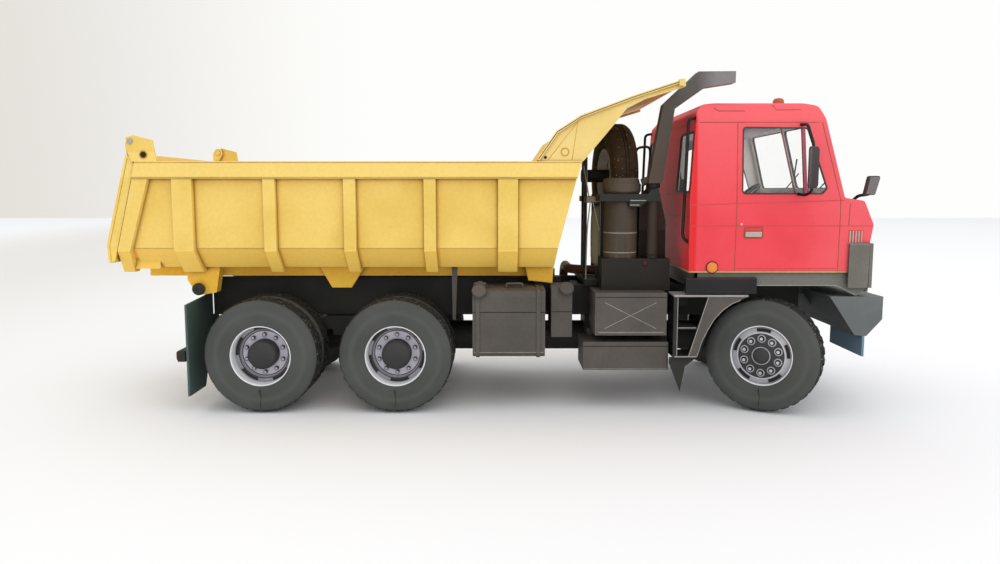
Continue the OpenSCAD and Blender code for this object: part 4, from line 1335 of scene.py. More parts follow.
@dataclass
class Cab:
    """Folded card cab: shell, glazing, seams, fittings and interior."""

    skin: float = 0.8
    outline: tuple[Flat, ...] = (
        (58, 43.3), (57.8, 65), (59.6, 91), (61.6, 93.6), (66, 94.2), (92, 94.2), (96.6, 93.2),
        (97.8, 90), (104, 65.8), (109.9, 64.9), (112.9, 57.8), (112.1, 52), (111.8, 43.3))
    cross: tuple[Flat, ...] = (
        (-38.2, 43.3), (-38.6, 57.4), (-38.6, 64), (-36.8, 89), (-33.4, 94.2), (33.4, 94.2),
        (36.8, 89), (38.6, 64), (38.6, 57.4), (38.2, 43.3))
    door_pane: tuple[Flat, ...] = ((73.4, 67), (73.4, 86.6), (92.6, 86.4), (98.6, 68.6), (97.2, 67))
    door_radii: tuple[float, ...] = (1.1, 1.0, 1.2, 0.8, 0.8)
    rear_radius: float = 1.4
    screen_radius: float = 1.8
    rear_pane: tuple[Flat, ...] = ((-36.4, 67.6), (-18, 67.6), (-18, 85.4), (-35.2, 85.4))
    screen_pane: tuple[Flat, ...] = ((-35, 68.6), (-0.9, 68.6), (-0.9, 88), (-34, 88))

    def half_width(self, z: float) -> float:
        """Half the cab's width at height z."""
        steps = [(z0, -y0) for y0, z0 in self.cross[:5]]
        for (z0, y0), (z1, y1) in zip(steps, steps[1:]):
            if z <= z1:
                return y0 + (z - z0) * (y1 - y0) / (z1 - z0)
        return steps[-1][1]

    def flank(self, u: float, v: float, w: float) -> Point:
        """Point on the right-hand side: u forward, v up, w off the skin."""
        return (u, -self.half_width(v) - w, v)

    def screen(self, u: float, v: float, w: float) -> Point:
        """Point on the windscreen's plane: u is Y, v up, w off the skin."""
        return (104 - (v - 65.8) * 6.2 / 24.2 + w, u, v)

    def rear(self, u: float, v: float, w: float) -> Point:
        """Point on the back wall: u is Y, v up, w off the skin."""
        x = 57.8 + (v - 65) * 1.8 / 26 if v > 65 else 58 - 0.2 * (v - 43.3) / 21.7
        return (x - w, u, v)

    def nose(self, u: float, v: float, w: float) -> Point:
        """Point on the nose's front: u is Y, v up, w off the skin."""
        x = 111.8 + (v - 43.3) * 0.3 / 8.7 if v < 52 else 112.1 + (v - 52) * 0.8 / 5.8
        return (x + w, u, v)

    def panes(self) -> tuple[list[Flat], ...]:
        """Rounded outlines of the door, rear and windscreen openings."""
        return (rounded(self.door_pane, self.door_radii), rounded(self.rear_pane, self.rear_radius),
                rounded(self.screen_pane, self.screen_radius))

    def shell(self) -> None:
        """Builds the folded shell with its window openings."""
        side = rounded(self.outline, (0, 0, 1.6, 2.0, 3.0, 3.0, 2.2, 2.2, 0.8, 1.2, 1.6, 1.5, 0), 5)
        cross = rounded(self.cross, (0, 0, 0, 2.6, 3.4, 3.4, 2.6, 0, 0, 0), 6)
        outer, across = Draft(), Draft()
        outer.slab(side, side_view, -45, 45)
        across.slab(cross, front_view, 50, 130)
        outer = carved(outer, [(across, "INTERSECT")])
        inner, across = Draft(), Draft()
        inner.slab(grown(side, -self.skin), side_view, -45, 45, 1)
        across.slab(grown(cross, -self.skin), front_view, 50, 130, 1)
        inner = carved(inner, [(across, "INTERSECT")])
        doors, backs, fronts = Draft(), Draft(), Draft()
        door, rear, screen = self.panes()
        doors.slab(door, side_view, -50, 50, 1)
        backs.slab(rear, front_view, 54, 62, 1)
        fronts.slab(screen, front_view, 94, 106, 1)
        backs.mirror()
        fronts.mirror()
        shell = carved(outer, [(inner, "DIFFERENCE"), (doors, "DIFFERENCE"),
                               (backs, "DIFFERENCE"), (fronts, "DIFFERENCE")])
        shell.make("cab_shell", "chassis", RED, WHITE, edge=0.18,
                   stands_for=("cab_body", "cab_front"), slot="red_card", angle=24)

    def glazing(self) -> None:
        """Adds the dark edge round each opening, a grey sheet of painted shade in the upper rear corner
        of each door window, and dresses the panes.
        """
        sheet = Draft()
        door, rear, screen = self.panes()
        sheet.ring(grown(door, 0.18), grown(door, -0.2), self.flank, -0.5, 0.14)
        for width, ink, shifts in ((0.9, 1, (0.0,)), (0.14, 0, (-0.5, 0.5))):
            for shift in shifts:
                sheet.line([(92.2 + shift, 66.8), (91.2 + shift, 86.6)], width, self.flank, -0.45,
                           0.12, ink)
        sheet.mirror()
        mark = len(sheet.points)
        for pane, place in ((rear, self.rear), (screen, self.screen)):
            sheet.ring(grown(pane, 0.3), grown(pane, -0.25), place, -0.5, 0.2)
        sheet.mirror(mark)
        sheet.make("pane_gaskets", "chassis", PANE_EDGE, BAR, edge=0.05, slot="black_card")
        # Painted shade: a grey triangle just inside each door window's upper rear corner, where the
        # cab's inside is in shade.
        shade_sheet = Draft()
        shade_sheet.slab([(73.2, 87), (85.8, 87), (73.2, 82.9)], self.flank, -1.5, -1.25)
        shade_sheet.mirror()
        shade_sheet.make("painted_window_shade", "chassis", WINDOW_SHADE)
        dress("cab_windows", GLAZING, 0)

    def seams(self) -> None:
        """Adds the printed panel seams and creases."""
        dark = Draft()
        dark.line([(71.74, 43.9), (71.74, 57.4), (71.74, 64), (71.74, 87.9)], 0.18, self.flank)
        dark.line([(102.8, 43.9), (102.8, 57.4), (102.75, 64), (102.7, 65.3), (96.9, 88.1)], 0.18,
                  self.flank)
        dark.line([(60.4, 88.1), (96.0, 88.1)], 0.16, self.flank)
        dark.line([(65, 92.6), (66.3, 91.6), (74.3, 91.6)], 0.2, self.flank)
        dark.line([(82.9, 93.4), (83.7, 91.9), (91.1, 92.0)], 0.2, self.flank)
        dark.line([(105.4, 57.6), (105.6, 64.2)], 0.2, self.flank)
        dark.mirror()
        dark.line([(-36.4, 66.9), (36.4, 66.9)], 0.24, self.rear)
        dark.line([(-35.2, 88.4), (35.2, 88.4)], 0.24, self.rear)
        dark.line([(0, 44), (0, 88.4)], 0.2, self.rear)
        dark.line([(-38, 60), (38, 60)], 0.2, self.rear)
        dark.line([(-38.2, 57.6), (38.2, 57.6)], 0.24, self.nose)
        dark.make("panel_seams", "chassis", SEAM)
        crease = Draft()
        crease.line([(58.1, 63.65), (90, 64.55), (103.9, 65.1)], 0.22, self.flank)
        crease.line([(58.2, 57.4), (112.6, 57.4)], 0.18, self.flank)
        crease.line([(72.6, 44.6), (102, 44.6)], 0.16, self.flank)
        crease.mirror()
        crease.make("pressed_creases", "chassis", CREASE)
        trim = Draft()
        trim.line([(58.1, 43.55), (105.6, 43.55)], 0.5, self.flank, -0.1, 0.14)
        trim.mirror()
        trim.line([(-38, 43.55), (38, 43.55)], 0.5, self.rear, -0.1, 0.14)
        trim.make("sill_trim", "chassis", TRIM)

    def fittings(self) -> None:
        """Adds handles, vents, side and roof markers, then the wipers and the front."""
        sheet = Draft()
        hole = rounded(rect(74.1, 53.7, 79.8, 57.1), 0.5)
        sheet.ring(hole, grown(hole, -0.3), self.flank, -0.1, 0.16, 0)
        sheet.slab(rounded(rect(74.5, 54.1, 79.4, 55.7), 0.3), self.flank, -0.1, 0.5, 1)
        sheet.line([(74.6, 55.85), (79.3, 55.85)], 0.16, self.flank, -0.1, 0.1, 0)
        sheet.slab(circle(73.3, 57.9, 0.42, 16), self.flank, -0.1, 0.2, 1)
        sheet.slab(rounded(rect(105.5, 51.6, 110.0, 56.1), 0.3), self.flank, -0.1, 0.08, 2)
        for i in range(5):
            sheet.line([(105.95 + i * 0.88, 51.8), (105.95 + i * 0.88, 55.9)], 0.38, self.flank,
                       -0.1, 0.26, 1)
        sheet.mirror()
        sheet.make("side_fittings", "chassis", SEAM, PLATE, CREASE, edge=0.05)
        lamp = Draft()
        lamp.post((64.9, -self.half_width(44.9) + 0.1, 44.9), (0, -1, 0),
                  [(1.85, 0), (1.85, 0.3), (1.6, 0.42), (1.5, 0.75), (1.0, 1.1), (0, 1.2)], 32,
                  [1, 1, 0, 0, 0])
        lamp.mirror()
        lamp.make("side_markers", "chassis", MARKER, GASKET)
        dome = Draft()
        dome.post((87.2, -26, 93.9), (0, 0, 1), [(2.0, 0), (2.0, 0.5), (1.75, 0.6), (1.7, 1.6),
                                                 (1.3, 2.2), (0.6, 2.45), (0, 2.5)], 32, 0)
        dome.mirror()
        dome.make("roof_markers", "chassis", BEACON)
        self.wipers()
        self.front()

    def wipers(self) -> None:
        """Adds an arm and a blade on each half of the windscreen."""
        sheet = Draft()
        for base, tip in (((14.6, 67.6), (-3, 73.6)), ((-16, 67.6), (-32.5, 73.2))):
            foot, end = self.screen(*base, 0.5), self.screen(*tip, 0.75)
            sheet.tube([self.screen(base[0], base[1], -0.1), foot, end], 0.22, 0, 0.4, 8)
            low = self.screen(tip[0] + 7.5, tip[1] - 4.2, 0.5)
            high = self.screen(tip[0] - 2.0, tip[1] + 4.8, 0.5)
            sheet.tube([low, high], 0.26, 0, 1, 6)
        sheet.make("wipers", "chassis", WIRE, slot="black_wire")

    def front(self) -> None:
        """Adds a plain slatted grille, lamps and the screen's middle post."""
        sheet = Draft()
        sheet.slab(rounded(rect(-26, 45.4, 26, 55.6), 1.0), self.nose, -0.3, 0.1, 0)
        for i in range(6):
            z = 46.4 + i * 1.66
            sheet.line([(-25, z), (25, z)], 0.6, self.nose, -0.1, 0.5, 1)
        sheet.make("nose_grille", "chassis", GASKET, RED, edge=0.06)
        post = Draft()
        post.line([(0, 66.6), (0, 89)], 1.5, self.screen, -0.9, 0.35, 0)
        post.line([(0, 66.6), (0, 89)], 0.3, self.screen, 0.3, 0.42, 1)
        post.make("screen_post", "chassis", RED, GASKET, edge=0.1)
        lamp = Draft()
        face = rounded(rect(-36, 30.2, -24, 35.2), 0.8)
        plane: Place = lambda u, v, w: (117.3 + w, u, v)
        lamp.slab(face, plane, -0.1, 0.25, 0)
        lamp.slab(rounded(rect(-35.4, 30.7, -29.6, 34.7), 0.6), plane, 0.2, 0.6, 1)
        lamp.slab(rounded(rect(-29.0, 30.7, -24.6, 34.7), 0.6), plane, 0.2, 0.6, 2)
        lamp.mirror()
        lamp.make("head_lamps", "chassis", GASKET, LAMP, MARKER, edge=0.08)

    def mirrors(self) -> None:
        """Adds the rear-view mirrors, the kerb mirror and the grab rails."""
        sheet = Draft()
        sheet.tube([(90.6, -36.7, 87.4), (91.0, -41, 87.2), (91.6, -44.6, 81.4), (91.6, -44.6, 67.6),
                    (90.8, -42, 66.6), (90.0, -38.3, 66.9)], 0.46, 0, 1.0)
        case = rounded(rect(-46.8, 68.6, -43.6, 80.6), 1.1)
        sheet.slab(case, front_view, 90.9, 92.4, 1)
        sheet.slab(grown(case, -0.5), front_view, 92.3, 92.8, 1)
        sheet.ring(case, grown(case, -0.3), front_view, 90.6, 91.0, 1)
        sheet.slab(grown(case, -0.3), front_view, 90.75, 90.95, 2)
        sheet.mirror()
        sheet.tube([(109, -33, 65.2), (109.4, -35, 66.4), (112.4, -36.2, 66.9),
                    (112.6, -37.2, 68.6)], 0.5, 0, 1.0)
        plate = rounded([(109.9, 66.6), (113.0, 66.6), (114.5, 72.3), (111.1, 72.3)], 0.7)
        sheet.slab(plate, side_view, -38.3, -36.4, 1)
        sheet.slab(grown(plate, -0.3), side_view, -38.6, -38.25, 2)
        sheet.make("mirrors_detail", "chassis", WIRE, MIRROR, MIRROR_GLASS, edge=0.12,
                   stands_for=("mirrors",), slot="black_wire")
        rails = Draft()
        rails.tube([(57.6, 30, 62.4), (51.7, 30, 62.6), (52.7, 30, 84.0), (58.0, 30, 84.6),
                    (58.2, 30, 76), (59.2, 30, 75.2)], 0.5, 0, 2.0)
        mark = len(rails.points)
        rails.tube([(60.2, -35, 89.6), (57.2, -36.4, 89.2), (56.2, -36.4, 54), (58.0, -36.4, 52.2)],
                   0.5, 0, 1.4)
        rails.mirror(mark)
        rails.make("grab_rails_detail", "chassis", WIRE, stands_for=("grab_rails",),
                   slot="black_wire")

    def build(self) -> None:
        """Makes the whole cab."""
        self.shell()
        self.glazing()
        self.seams()
        self.fittings()
        self.mirrors()
        dress("seats", INSIDE, 0.5)
        dress("dashboard", INSIDE, 0.2)
        self.skirt()

    def skirt(self) -> None:
        """Adds the dark sill round the cab's base with its nose corners."""
        sill = Draft()
        edge = [(60, 43.28), (60, 39.2), (103, 39.2), (109, 36.1), (112.6, 38.6), (112.6, 43.28)]
        sill.slab(edge, side_view, -37.6, -36.8)
        sill.slab([(105.8, 52.2), (111.9, 52.2), (111.7, 38.8), (105.8, 38.8)], side_view,
                  -39.3, -38.6)
        sill.slab(rect(-39.3, 52.2, -30, 38.8), front_view, 111.9, 112.9)
        sill.line([(61, 39.35), (103, 39.35), (108.8, 36.5)], 0.22, near_side(37.6), ink=1)
        sill.line([(105.9, 52.0), (111.8, 52.0)], 0.16, near_side(39.3), ink=1)
        sill.mirror()
        sill.box((60, -37.6, 39.2), (60.8, 37.6, 43.28))
        sill.box((111.8, -37.6, 37.4), (112.6, 37.6, 43.28))
        sill.box((60.2, -37.4, 42.4), (112.4, 37.4, 43.26))
        for x, wide in ((62, 4.0), (96, 3.8)):
            sill.box((x, -14.8, 37.02), (x + wide, 14.8, 42.5))
        sill.make("cab_sill", "chassis", SILL, PALE_LINE, edge=0.1,
                  stands_for=("cab_skirt",), slot="grey_card")


# ---- bed -----------------------------------------------------------------


@dataclass
class Bed:
    """Tipping bed of yellow card with its ribs, spill guard and lower beams."""

    side_y: float = 36.5
    rail_z: float = 71.5
    knee_z: float = 50.4
    ribs: tuple[Flat, ...] = ((-94, 3), (-68, 1.8), (-44, 1.8), (-20, 1.8), (3.4, 3))

    def build(self) -> None:
        """Dresses the bed and adds its lines, partly print and partly painted shade, and small parts."""
        dress("bed_tub", YELLOW, 0.15)
        dress("bed_ribs", YELLOW, 0.15)
        dress("bed_canopy", CANOPY, 0.12)
        dress("bed_beams", AMBER, 0.12)
        dress("bed_stay", CHARCOAL, 0.1)
        self.lines()
        self.guard()

    def lines(self) -> None:
        """Adds the dark lines beside the ribs, under the rail and along the knee: partly printed
        outline, partly painted shade in the corners beside the ribs and under the rail.
        """
        sheet = Draft()
        face = near_side(self.side_y)
        # Partly print, partly painted shade beside the ribs and under the rail.
        sheet.line([(-108.6, self.rail_z - 0.2), (23.8, self.rail_z - 0.2)], 0.34, face)
        for x, half in self.ribs:
            for edge in (x - half - 0.16, x + half + 0.16):
                sheet.line([(edge, self.knee_z + 0.2), (edge, self.rail_z - 0.2)], 0.26, face)
        sheet.line([(-112.2, self.knee_z + 0.1), (18.4, self.knee_z + 0.1)], 0.2, face)
        sheet.mirror()
        sheet.make("bed_lines", "bed", GOLD_LINE)
        fill = Draft()
        fill.slab([(-114.6, 47.2), (-104, 47.2), (-104, 43.9), (-112.6, 43.9)], side_view, -32, -28.4)
        fill.mirror()
        fill.make("rear_fillers", "bed", YELLOW, edge=0.1)
        rail = Draft()
        rail.line([(-108.8, self.rail_z + 0.3), (24, self.rail_z + 0.3)], 0.2, near_side(39))
        rail.line([(-107.3, 76.2), (25, 76.2)], 0.16, near_side(39))
        rail.mirror()
        rail.make("rail_lines", "bed", GOLD_LINE)

    def guard(self) -> None:
        """Adds the spill guard's folds, holes and end box, with the ears' pins."""
        sheet = Draft()
        cheek = near_side(38.4)
        sheet.line([(15.3, 77.0), (24.0, 88.1), (22.4, 77)], 0.2, cheek, -0.05, 0.05)
        sheet.line([(24.0, 88.3), (26.1, 90.6)], 0.2, cheek, -0.05, 0.05)
        sheet.ring(circle(20.3, 79.3, 1.25), circle(20.3, 79.3, 1.0), cheek, -0.05, 0.12, 0)
        sheet.slab(circle(14.5, 77.7, 0.45, 16), cheek, -0.05, 0.08, 1)
        sheet.line([(12.4, 77.2), (17.9, 85.1), (25.0, 89.55), (40.1, 95.15), (54.4, 99.8)], 0.2,
                   near_side(39.6), -0.05, 0.05, 1)
        sheet.slab(rounded([(53.4, 98.6), (55.4, 98.2), (55.2, 100.5), (53.6, 100.4)], 0.2),
                   side_view, -39.8, -37.4, 2)
        ear = near_side(39)
        sheet.slab(circle(-104.6, 78.5, 0.9, 20), ear, -0.05, 0.08, 1)
        sheet.ring(circle(-104.6, 78.5, 1.2, 20), circle(-104.6, 78.5, 0.9, 20), ear, -0.05, 0.14, 0)
        sheet.slab(circle(-108.4, 82.4, 0.75, 20), ear, -0.05, 0.4, 3)
        sheet.mirror()
        sheet.make("guard_details", "bed", GOLD_LINE, INKLINE, CANOPY, STEEL_RING, edge=0.05)


@dataclass
class Gate:
    """Hanging rear gate."""

    hinge_x: float = -108.4
    hinge_z: float = 82.4

    def build(self) -> None:
        """Dresses the gate and adds its hinge caps."""
        dress("tailgate", YELLOW, 0.15)
        flange = Draft()
        flange.slab([(-109.0, 78.2), (-107.9, 75.6), (-114.1, 50.2), (-115.1, 46.6),
                     (-116.9, 46.3), (-117.25, 51.6), (-110.4, 78.4)], side_view, -38.3, -37.5)
        flange.line([(-109.7, 77.6), (-116.3, 51.6), (-116.1, 46.8)], 0.2, near_side(38.3),
                    -0.05, 0.05, 1)
        flange.mirror()
        flange.make("gate_flanges", "gate", YELLOW, GOLD_LINE, edge=0.12)
        lip = Draft()
        lip.slab([(-116.2, 47.6), (-115.5, 47.6), (-115.7, 44.95), (-116.3, 44.95)], side_view,
                 -29.3, 29.3)
        lip.make("gate_lip", "gate", YELLOW)
        sheet = Draft()
        place: Place = lambda u, v, w: (u, -37.4 + w, v)
        sheet.ring(circle(self.hinge_x, self.hinge_z, 1.3, 24),
                   circle(self.hinge_x, self.hinge_z, 0.95, 24), place, -0.15, 0.05)
        sheet.mirror()
        sheet.make("gate_hinge_rings", "gate", GOLD_LINE)


# ---- chassis -------------------------------------------------------------


@dataclass
class Chassis:
    """Rails, backbone, axles, springs, tanks and boxes in dark card."""

    tank_y: float = 37.0
    battery_y: float = 37.0

    def build(self) -> None:
        """Dresses the chassis and adds its small parts."""
        for node in ("chassis_frame", "backbone_tube", "engine_block", "half_axles",
                     "leaf_springs", "knuckle_right", "knuckle_left", "air_tanks"):
            dress(node, BLACK, 0.12)
        for node in ("fuel_tank", "small_tank", "battery_box", "tool_box"):
            dress(node, CHARCOAL, 0.25)
        dress("rear_flaps", FLAP, 0.1)
        dress("underrun_bar", BLACK, 0.15)
        self.steps()
        dress("bumper", BUMPER, 0.15)
        self.pivots()
        self.tank_details()
        self.rear_lamps()

    def steps(self) -> None:
        """Makes the step boxes below the doors, with arch bands and small flaps."""
        sheet = Draft()
        band = [(58.4, 17.2), (64.1, 35.9), (76, 35.9), (73.8, 34.9), (71.4, 33.9), (68.6, 31.9),
                (66.1, 29.2), (64.1, 25.7), (62.4, 22.2), (61.5, 19.6), (61.0, 17.2)]
        sheet.slab(band, side_view, -38.2, -37.6, 1)
        sheet.slab(rect(53.8, 17, 54.9, 36), side_view, -38.2, -37.5, 0)
        sheet.box((53.8, -38.4, 35.9), (76.2, -29, 36.5), 2)
        sheet.box((54.0, -38.3, 17), (61.4, -27, 17.6), 0)
        sheet.box((54.2, -38.1, 25.9), (61.4, -27, 26.5), 0)
        sheet.slab([(60.8, 17), (61.4, 17), (68.4, 36), (67.8, 36)], side_view, -37.6, -27, 0)
        sheet.box((54.2, -27.8, 17), (55, -27, 36), 0)
        sheet.box((54.2, -37.6, 17), (54.8, -27, 35.9), 0)
        sheet.slab([(53, 17.1), (61.4, 17.1), (57.8, 14.2), (56.4, 6.4), (52.8, 15.6)],
                   side_view, -37.2, -36.6, 0)
        sheet.box((56, -29.2, 32), (60, -15, 35), 0)
        face = near_side(38.2)
        sheet.line([(54.95, 17.8), (54.95, 35.8)], 0.2, face, -0.1, 0.08, 2)
        sheet.line([(54.2, 17.5), (61, 17.5)], 0.3, near_side(38.3), -0.1, 0.08, 2)
        sheet.line([(54.4, 26.4), (60.6, 26.4)], 0.22, near_side(38.1), -0.1, 0.08, 2)
        sheet.line([(58.5, 17.3), (64.2, 35.8)], 0.2, face, -0.1, 0.08, 2)
        sheet.line([(61.1, 17.4), (62.5, 22.2), (64.2, 25.7), (66.2, 29.2), (68.7, 31.9),
                    (71.5, 33.9), (73.9, 34.9)], 0.2, face, -0.1, 0.08, 2)
        sheet.mirror()
        sheet.make("step_boxes", "chassis", BLACK, CHARCOAL, STEP_TOP, edge=0.07,
                   stands_for=("cab_steps",), slot="black_card")
        block = Draft()
        block.slab(rounded(rect(57.2, 36.9, 78.6, 41.7), 0.3), side_view, -38.4, -36.4, 0)
        # Painted reflection: a dark red line along the top edge of each black block stands for the red
        # cab's sheen on it.
        block.line([(57.4, 41.4), (78.4, 41.4)], 0.16, near_side(38.4), -0.05, 0.06, 1)
        block.mirror()
        block.make("sill_blocks", "chassis", GASKET, WINE, edge=0.15)

    def pivots(self) -> None:
        """Adds the capped ends of the tipping pivot."""
        sheet = Draft()
        sheet.post((-93.6, -28.8, 37.2), (0, -1, 0), [(1.9, 0), (1.9, 0.8), (1.6, 1.0), (0.6, 1.0),
                                                      (0.5, 0.8), (0, 0.8)], 32)
        sheet.mirror()
        sheet.make("pivot_caps", "chassis", BLACK)

    def tank_details(self) -> None:
        """Adds creases, a filler cap and pressed lines on tanks and boxes."""
        dark = Draft()
        dark.line([(-7.3, 31), (14.7, 31)], 0.22, near_side(self.tank_y))
        dark.line([(16.9, 30.6), (23.3, 30.6)], 0.2, near_side(33))
        dark.line([(30.2, 35.6), (51.8, 35.6)], 0.2, near_side(self.battery_y))
        dark.line([(26.8, 20.2), (52.8, 20.2)], 0.2, near_side(35.5))
        dark.make("box_seams", "chassis", INKLINE)
        pale = Draft()
        face = near_side(self.battery_y)
        pale.line([(33, 26), (48.7, 34)], 0.16, face)
        pale.line([(33, 34), (48.7, 26)], 0.16, face)
        pale.line([(31.2, 24.8), (51, 24.8)], 0.2, face)
        pale.line([(-6.9, 18.6), (14.3, 18.6)], 0.16, near_side(self.tank_y))
        pale.line([(26.9, 13.1), (52.7, 13.1)], 0.16, near_side(35.5))
        pale.make("pressed_lines", "chassis", PALE_LINE)
        cap = Draft()
        cap.post((-5.2, -33, 37.9), (0, 0, 1), [(2.0, 0), (2.0, 1.5), (1.8, 1.8), (0.9, 1.8),
                                                (0.8, 2.2), (0, 2.2)], 28)
        for x, y, z in ((-5.4, -36.2, 36.4), (21.6, -32.4, 36.8)):
            cap.post((x, y, z), (0, -0.75, 0.66), [(1.5, 0), (1.5, 0.9), (2.1, 1.1), (2.2, 2.2),
                                                   (1.9, 2.5), (0, 2.6)], 28)
        cap.tube([(3, -33, 38), (3, -33, 39.4), (8, -33, 39.4), (8, -33, 38)], 0.35, 0, 0.8, 10)
        cap.make("filler_cap", "chassis", CHARCOAL, edge=0.05)

    def rear_lamps(self) -> None:
        """Adds the rear lamps on the underrun bar."""
        sheet = Draft()
        place: Place = lambda u, v, w: (-98 - w, u, v)
        sheet.slab(rounded(rect(-36.6, 15.8, -26, 18.8), 0.4), place, -0.1, 0.3, 0)
        sheet.slab(rounded(rect(-36.2, 16.1, -31.6, 18.5), 0.4), place, 0.2, 0.7, 1)
        sheet.slab(rounded(rect(-31.2, 16.1, -26.4, 18.5), 0.4), place, 0.2, 0.7, 2)
        sheet.mirror()
        sheet.make("rear_lamps", "chassis", GASKET, TAIL, MARKER, edge=0.06)


@dataclass
class AirIntake:
    """Canister, pipe and slanted duct on the right behind the cab, and the exhaust."""

    centre: Flat = (39, -25)
    radius: float = 5.2

    def build(self) -> None:
        """Dresses the intake and adds its bands."""
        dress("air_cleaner", CLEANER, 0.2)
        dress("intake_snorkel", SNORKEL, 0.3)
        x, y = self.centre
        bands = Draft()
        for z in (48.7, 54.8):
            bands.post((x, y, z), (0, 0, 1), [(5.1, -0.2), (5.27, -0.12), (5.27, 0.12),
                                              (5.1, 0.2)], 64)
        bands.make("canister_bands", "chassis", PALE_LINE)
        cap = Draft()
        cap.post((x + 0.3, y, 0), (0, 0, 1), [(4.9, 66.9), (5.4, 66.9), (5.95, 67.7), (5.95, 69.8),
                                              (5.7, 70.2), (5.3, 70.2)], 64)
        cap.post((x + 0.3, y, 0), (0, 0, 1), [(5.3, 70.1), (5.62, 70.3), (5.3, 71.5), (4.6, 71.9),
                                              (0, 71.9)], 64)
        cap.make("canister_cap", "chassis", CLEANER)
        collar = Draft()
        collar.post((48.6, -28.4, 69.4), (0, 0, 1), [(1.75, -0.8), (2.0, -0.6), (2.0, 0.8),
                                                     (1.75, 1.0)], 32)
        collar.post((48.6, -28.4, 47.4), (0, 0, 1), [(1.75, -0.6), (2.1, -0.4), (2.1, 0.5),
                                                     (1.75, 0.7)], 32)
        collar.make("pipe_collars", "chassis", GASKET)
        lamp = Draft()
        lamp.post((46.2, -29.95, 45.4), (0, -1, 0), [(0.75, 0), (0.75, 0.25), (0.5, 0.45),
                                                     (0, 0.5)], 20)
        lamp.make("cabinet_lamp", "chassis", WINE)
        self.exhaust()

    def exhaust(self) -> None:
        """Makes the smooth exhaust pipe and its silencer."""
        sheet = Draft()
        sheet.tube([(57.4, -4, 40.8), (31, -4, 40.8), (25, 0, 40.8), (25, 17, 40.8),
                    (25, 22.4, 38.4), (25, 24.4, 33.2)], 1.6, 0, 3.4, 20)
        sheet.post((19, 26, 29), (1, 0, 0), [(0, 0), (4.8, 0), (5.5, 0.5), (5.6, 1.2), (5.6, 20.8),
                                             (5.5, 21.5), (4.8, 22), (0, 22)], 48)
        for x in (20.6, 30, 39.4):
            sheet.post((x, 26, 29), (1, 0, 0), [(5.5, -0.4), (5.78, -0.3), (5.78, 0.3),
                                                (5.5, 0.4)], 48)
        sheet.tube([(21, 26, 24), (21, 26, 18)], 1.6, 0, 1, 20)
        for x in (22, 36):
            sheet.box((x, 14.9, 29.5), (x + 2, 21, 32.5))
        sheet.make("exhaust_detail", "chassis", EXHAUST, edge=0.08, stands_for=("exhaust",),
                   slot="brown_card")


@dataclass
class Rams:
    """Telescopic tipping rams under the bed."""

    nodes: tuple[str, ...] = ("ram_stage_1", "ram_stage_2", "ram_rods")

    def build(self) -> None:
        """Dresses the barrels and their stages."""
        dress("ram_barrels", EXHAUST, 0.12)
        for node in self.nodes:
            dress(node, STEEL, 0.1)


# ---- studio --------------------------------------------------------------


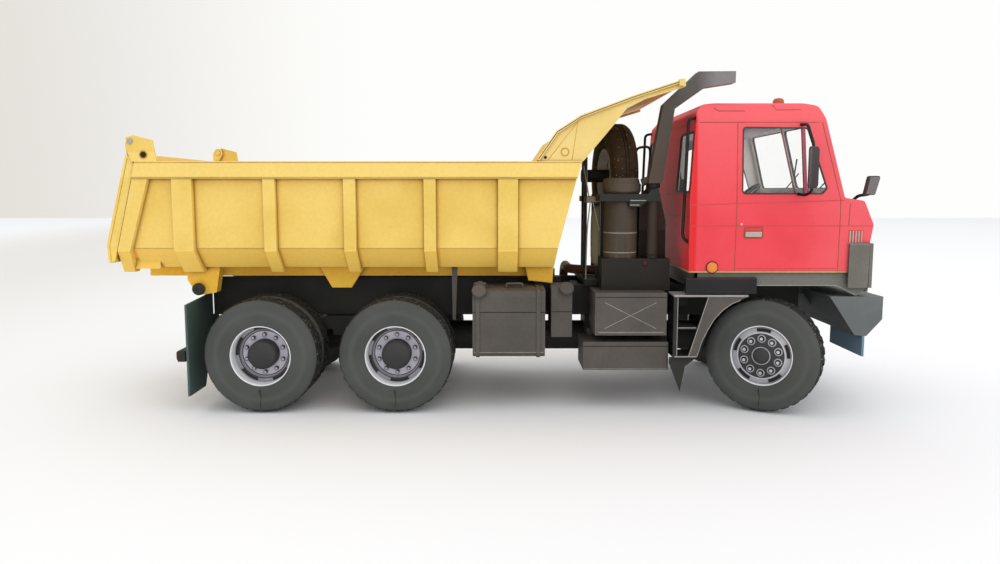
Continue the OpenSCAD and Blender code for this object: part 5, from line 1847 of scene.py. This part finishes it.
@dataclass
class Studio:
    """Pale floor, plain soft light and the camera; the floor and backdrop carry painted shade in a band
    to the left.
    """

    lens: float = 29.16
    eye: Point = (0.001, -0.2815, 0.0681)
    pitch: float = 83.52
    sky: float = 0.88
    white: Rgb = (254, 254, 252)
    wall_shade: Rgb = (226, 222, 216)
    floor: Rgb = (250, 251, 253)
    floor_shade: Rgb = (230, 228, 224)

    def camera(self) -> None:
        """Stands the camera."""
        data = bpy.data.cameras.new("camera")
        data.lens = self.lens
        data.sensor_width = 36.0
        data.clip_start = 0.01
        data.clip_end = 20.0
        seat = bpy.data.objects.new("camera", data)
        bpy.context.scene.collection.objects.link(seat)
        turn = Matrix.Rotation(math.radians(self.pitch), 4, "X")
        seat.matrix_world = Matrix.Translation(self.eye) @ turn
        bpy.context.scene.camera = seat

    def light(self) -> None:
        """Sets the world, whose backdrop carries painted shade in a band to the left, and two large soft
        lamps.
        """
        world = bpy.data.worlds.new("soft_room")
        bpy.context.scene.world = world
        world.use_nodes = True
        w = Wiring(world.node_tree)
        # Painted shade: the backdrop that the camera sees darkens in a band to the left.
        way = w.put("SeparateXYZ", {0: w.put("TexCoord").outputs["Generated"]})
        lit = w.math("MAXIMUM", w.ramp(way.outputs[0], -0.62, -0.12),
                     w.ramp(way.outputs[0], -0.64, -0.86))
        wall = w.blend(lit, linear(self.wall_shade), linear(self.white))
        shown = w.put("Background", {"Color": wall, "Strength": 1.0})
        felt = world.node_tree.nodes["Background"]
        felt.inputs["Color"].default_value = (1, 1, 1, 1)
        felt.inputs["Strength"].default_value = self.sky
        path = w.put("LightPath").outputs
        seen = w.math("MAXIMUM", path["Is Camera Ray"],
                      w.math("MAXIMUM", path["Is Glossy Ray"], path["Is Transmission Ray"]))
        mix = w.put("MixShader", {0: seen, 1: felt.outputs[0], 2: shown.outputs[0]})
        out = world.node_tree.nodes["World Output"]
        world.node_tree.links.new(mix.outputs[0], out.inputs["Surface"])
        for name, place, aim, size, power in (
                ("key", (0.5, -1.15, 1.1), (0, 0, 0.05), 1.7, 6.5),
                ("top", (-0.3, 0.5, 1.5), (0, 0, 0.0), 2.2, 4.4)):
            data = bpy.data.lights.new(name, "AREA")
            data.shape = "SQUARE"
            data.size = size
            data.energy = power
            lamp = bpy.data.objects.new(name, data)
            bpy.context.scene.collection.objects.link(lamp)
            lamp.location = place
            way = Vector(aim) - Vector(place)
            lamp.rotation_euler = way.to_track_quat("-Z", "Y").to_euler()

    def ground(self) -> None:
        """Lays the pale floor, with painted shade in a band towards its left."""
        made = bpy.data.materials.new("floor_paper")
        made.use_nodes = True
        w = Wiring(made.node_tree)
        shader = made.node_tree.nodes["Principled BSDF"]
        place = w.put("TexCoord").outputs["Object"]
        cloud = w.put("TexNoise", {"Vector": place, "Scale": 3.0, "Detail": 2.0}).outputs[0]
        tone = linear(self.floor)
        soft = tuple(c * 0.97 for c in tone[:3]) + (1.0,)
        # Painted shade: the floor darkens in a band to the left.
        along = w.put("SeparateXYZ", {0: place}).outputs[0]
        lit = w.math("MAXIMUM", w.ramp(along, -0.4, -0.04), w.ramp(along, -0.5, -0.9))
        sheet = w.blend(lit, linear(self.floor_shade), w.blend(cloud, tone, soft))
        made.node_tree.links.new(sheet, shader.inputs["Base Color"])
        shader.inputs["Roughness"].default_value = 0.85
        shader.inputs["Specular IOR Level"].default_value = 0.15
        mesh = bpy.data.meshes.new("floor")
        corners = [(-3, -1.5, 0), (3, -1.5, 0), (3, 1.72, 0), (-3, 1.72, 0)]
        mesh.from_pydata([(x, y, -0.0003) for x, y, _ in corners], [], [(0, 1, 2, 3)])
        mesh.materials.append(made)
        floor = bpy.data.objects.new("floor", mesh)
        bpy.context.scene.collection.objects.link(floor)

    def build(self) -> None:
        """Sets up the whole studio."""
        bpy.context.scene.view_settings.view_transform = "Standard"
        self.camera()
        self.light()
        self.ground()


def main() -> None:
    """Builds the studio and every sub-assembly in order."""
    logging.basicConfig(level=logging.INFO, format="%(message)s")
    for part in (Studio(), Wheels(), SpareWheel(), Chassis(), AirIntake(), Rams(), Bed(), Gate(),
                 Cab()):
        part.build()
        log.info("%s done", type(part).__name__)


if __name__ == "__main__":
    main()
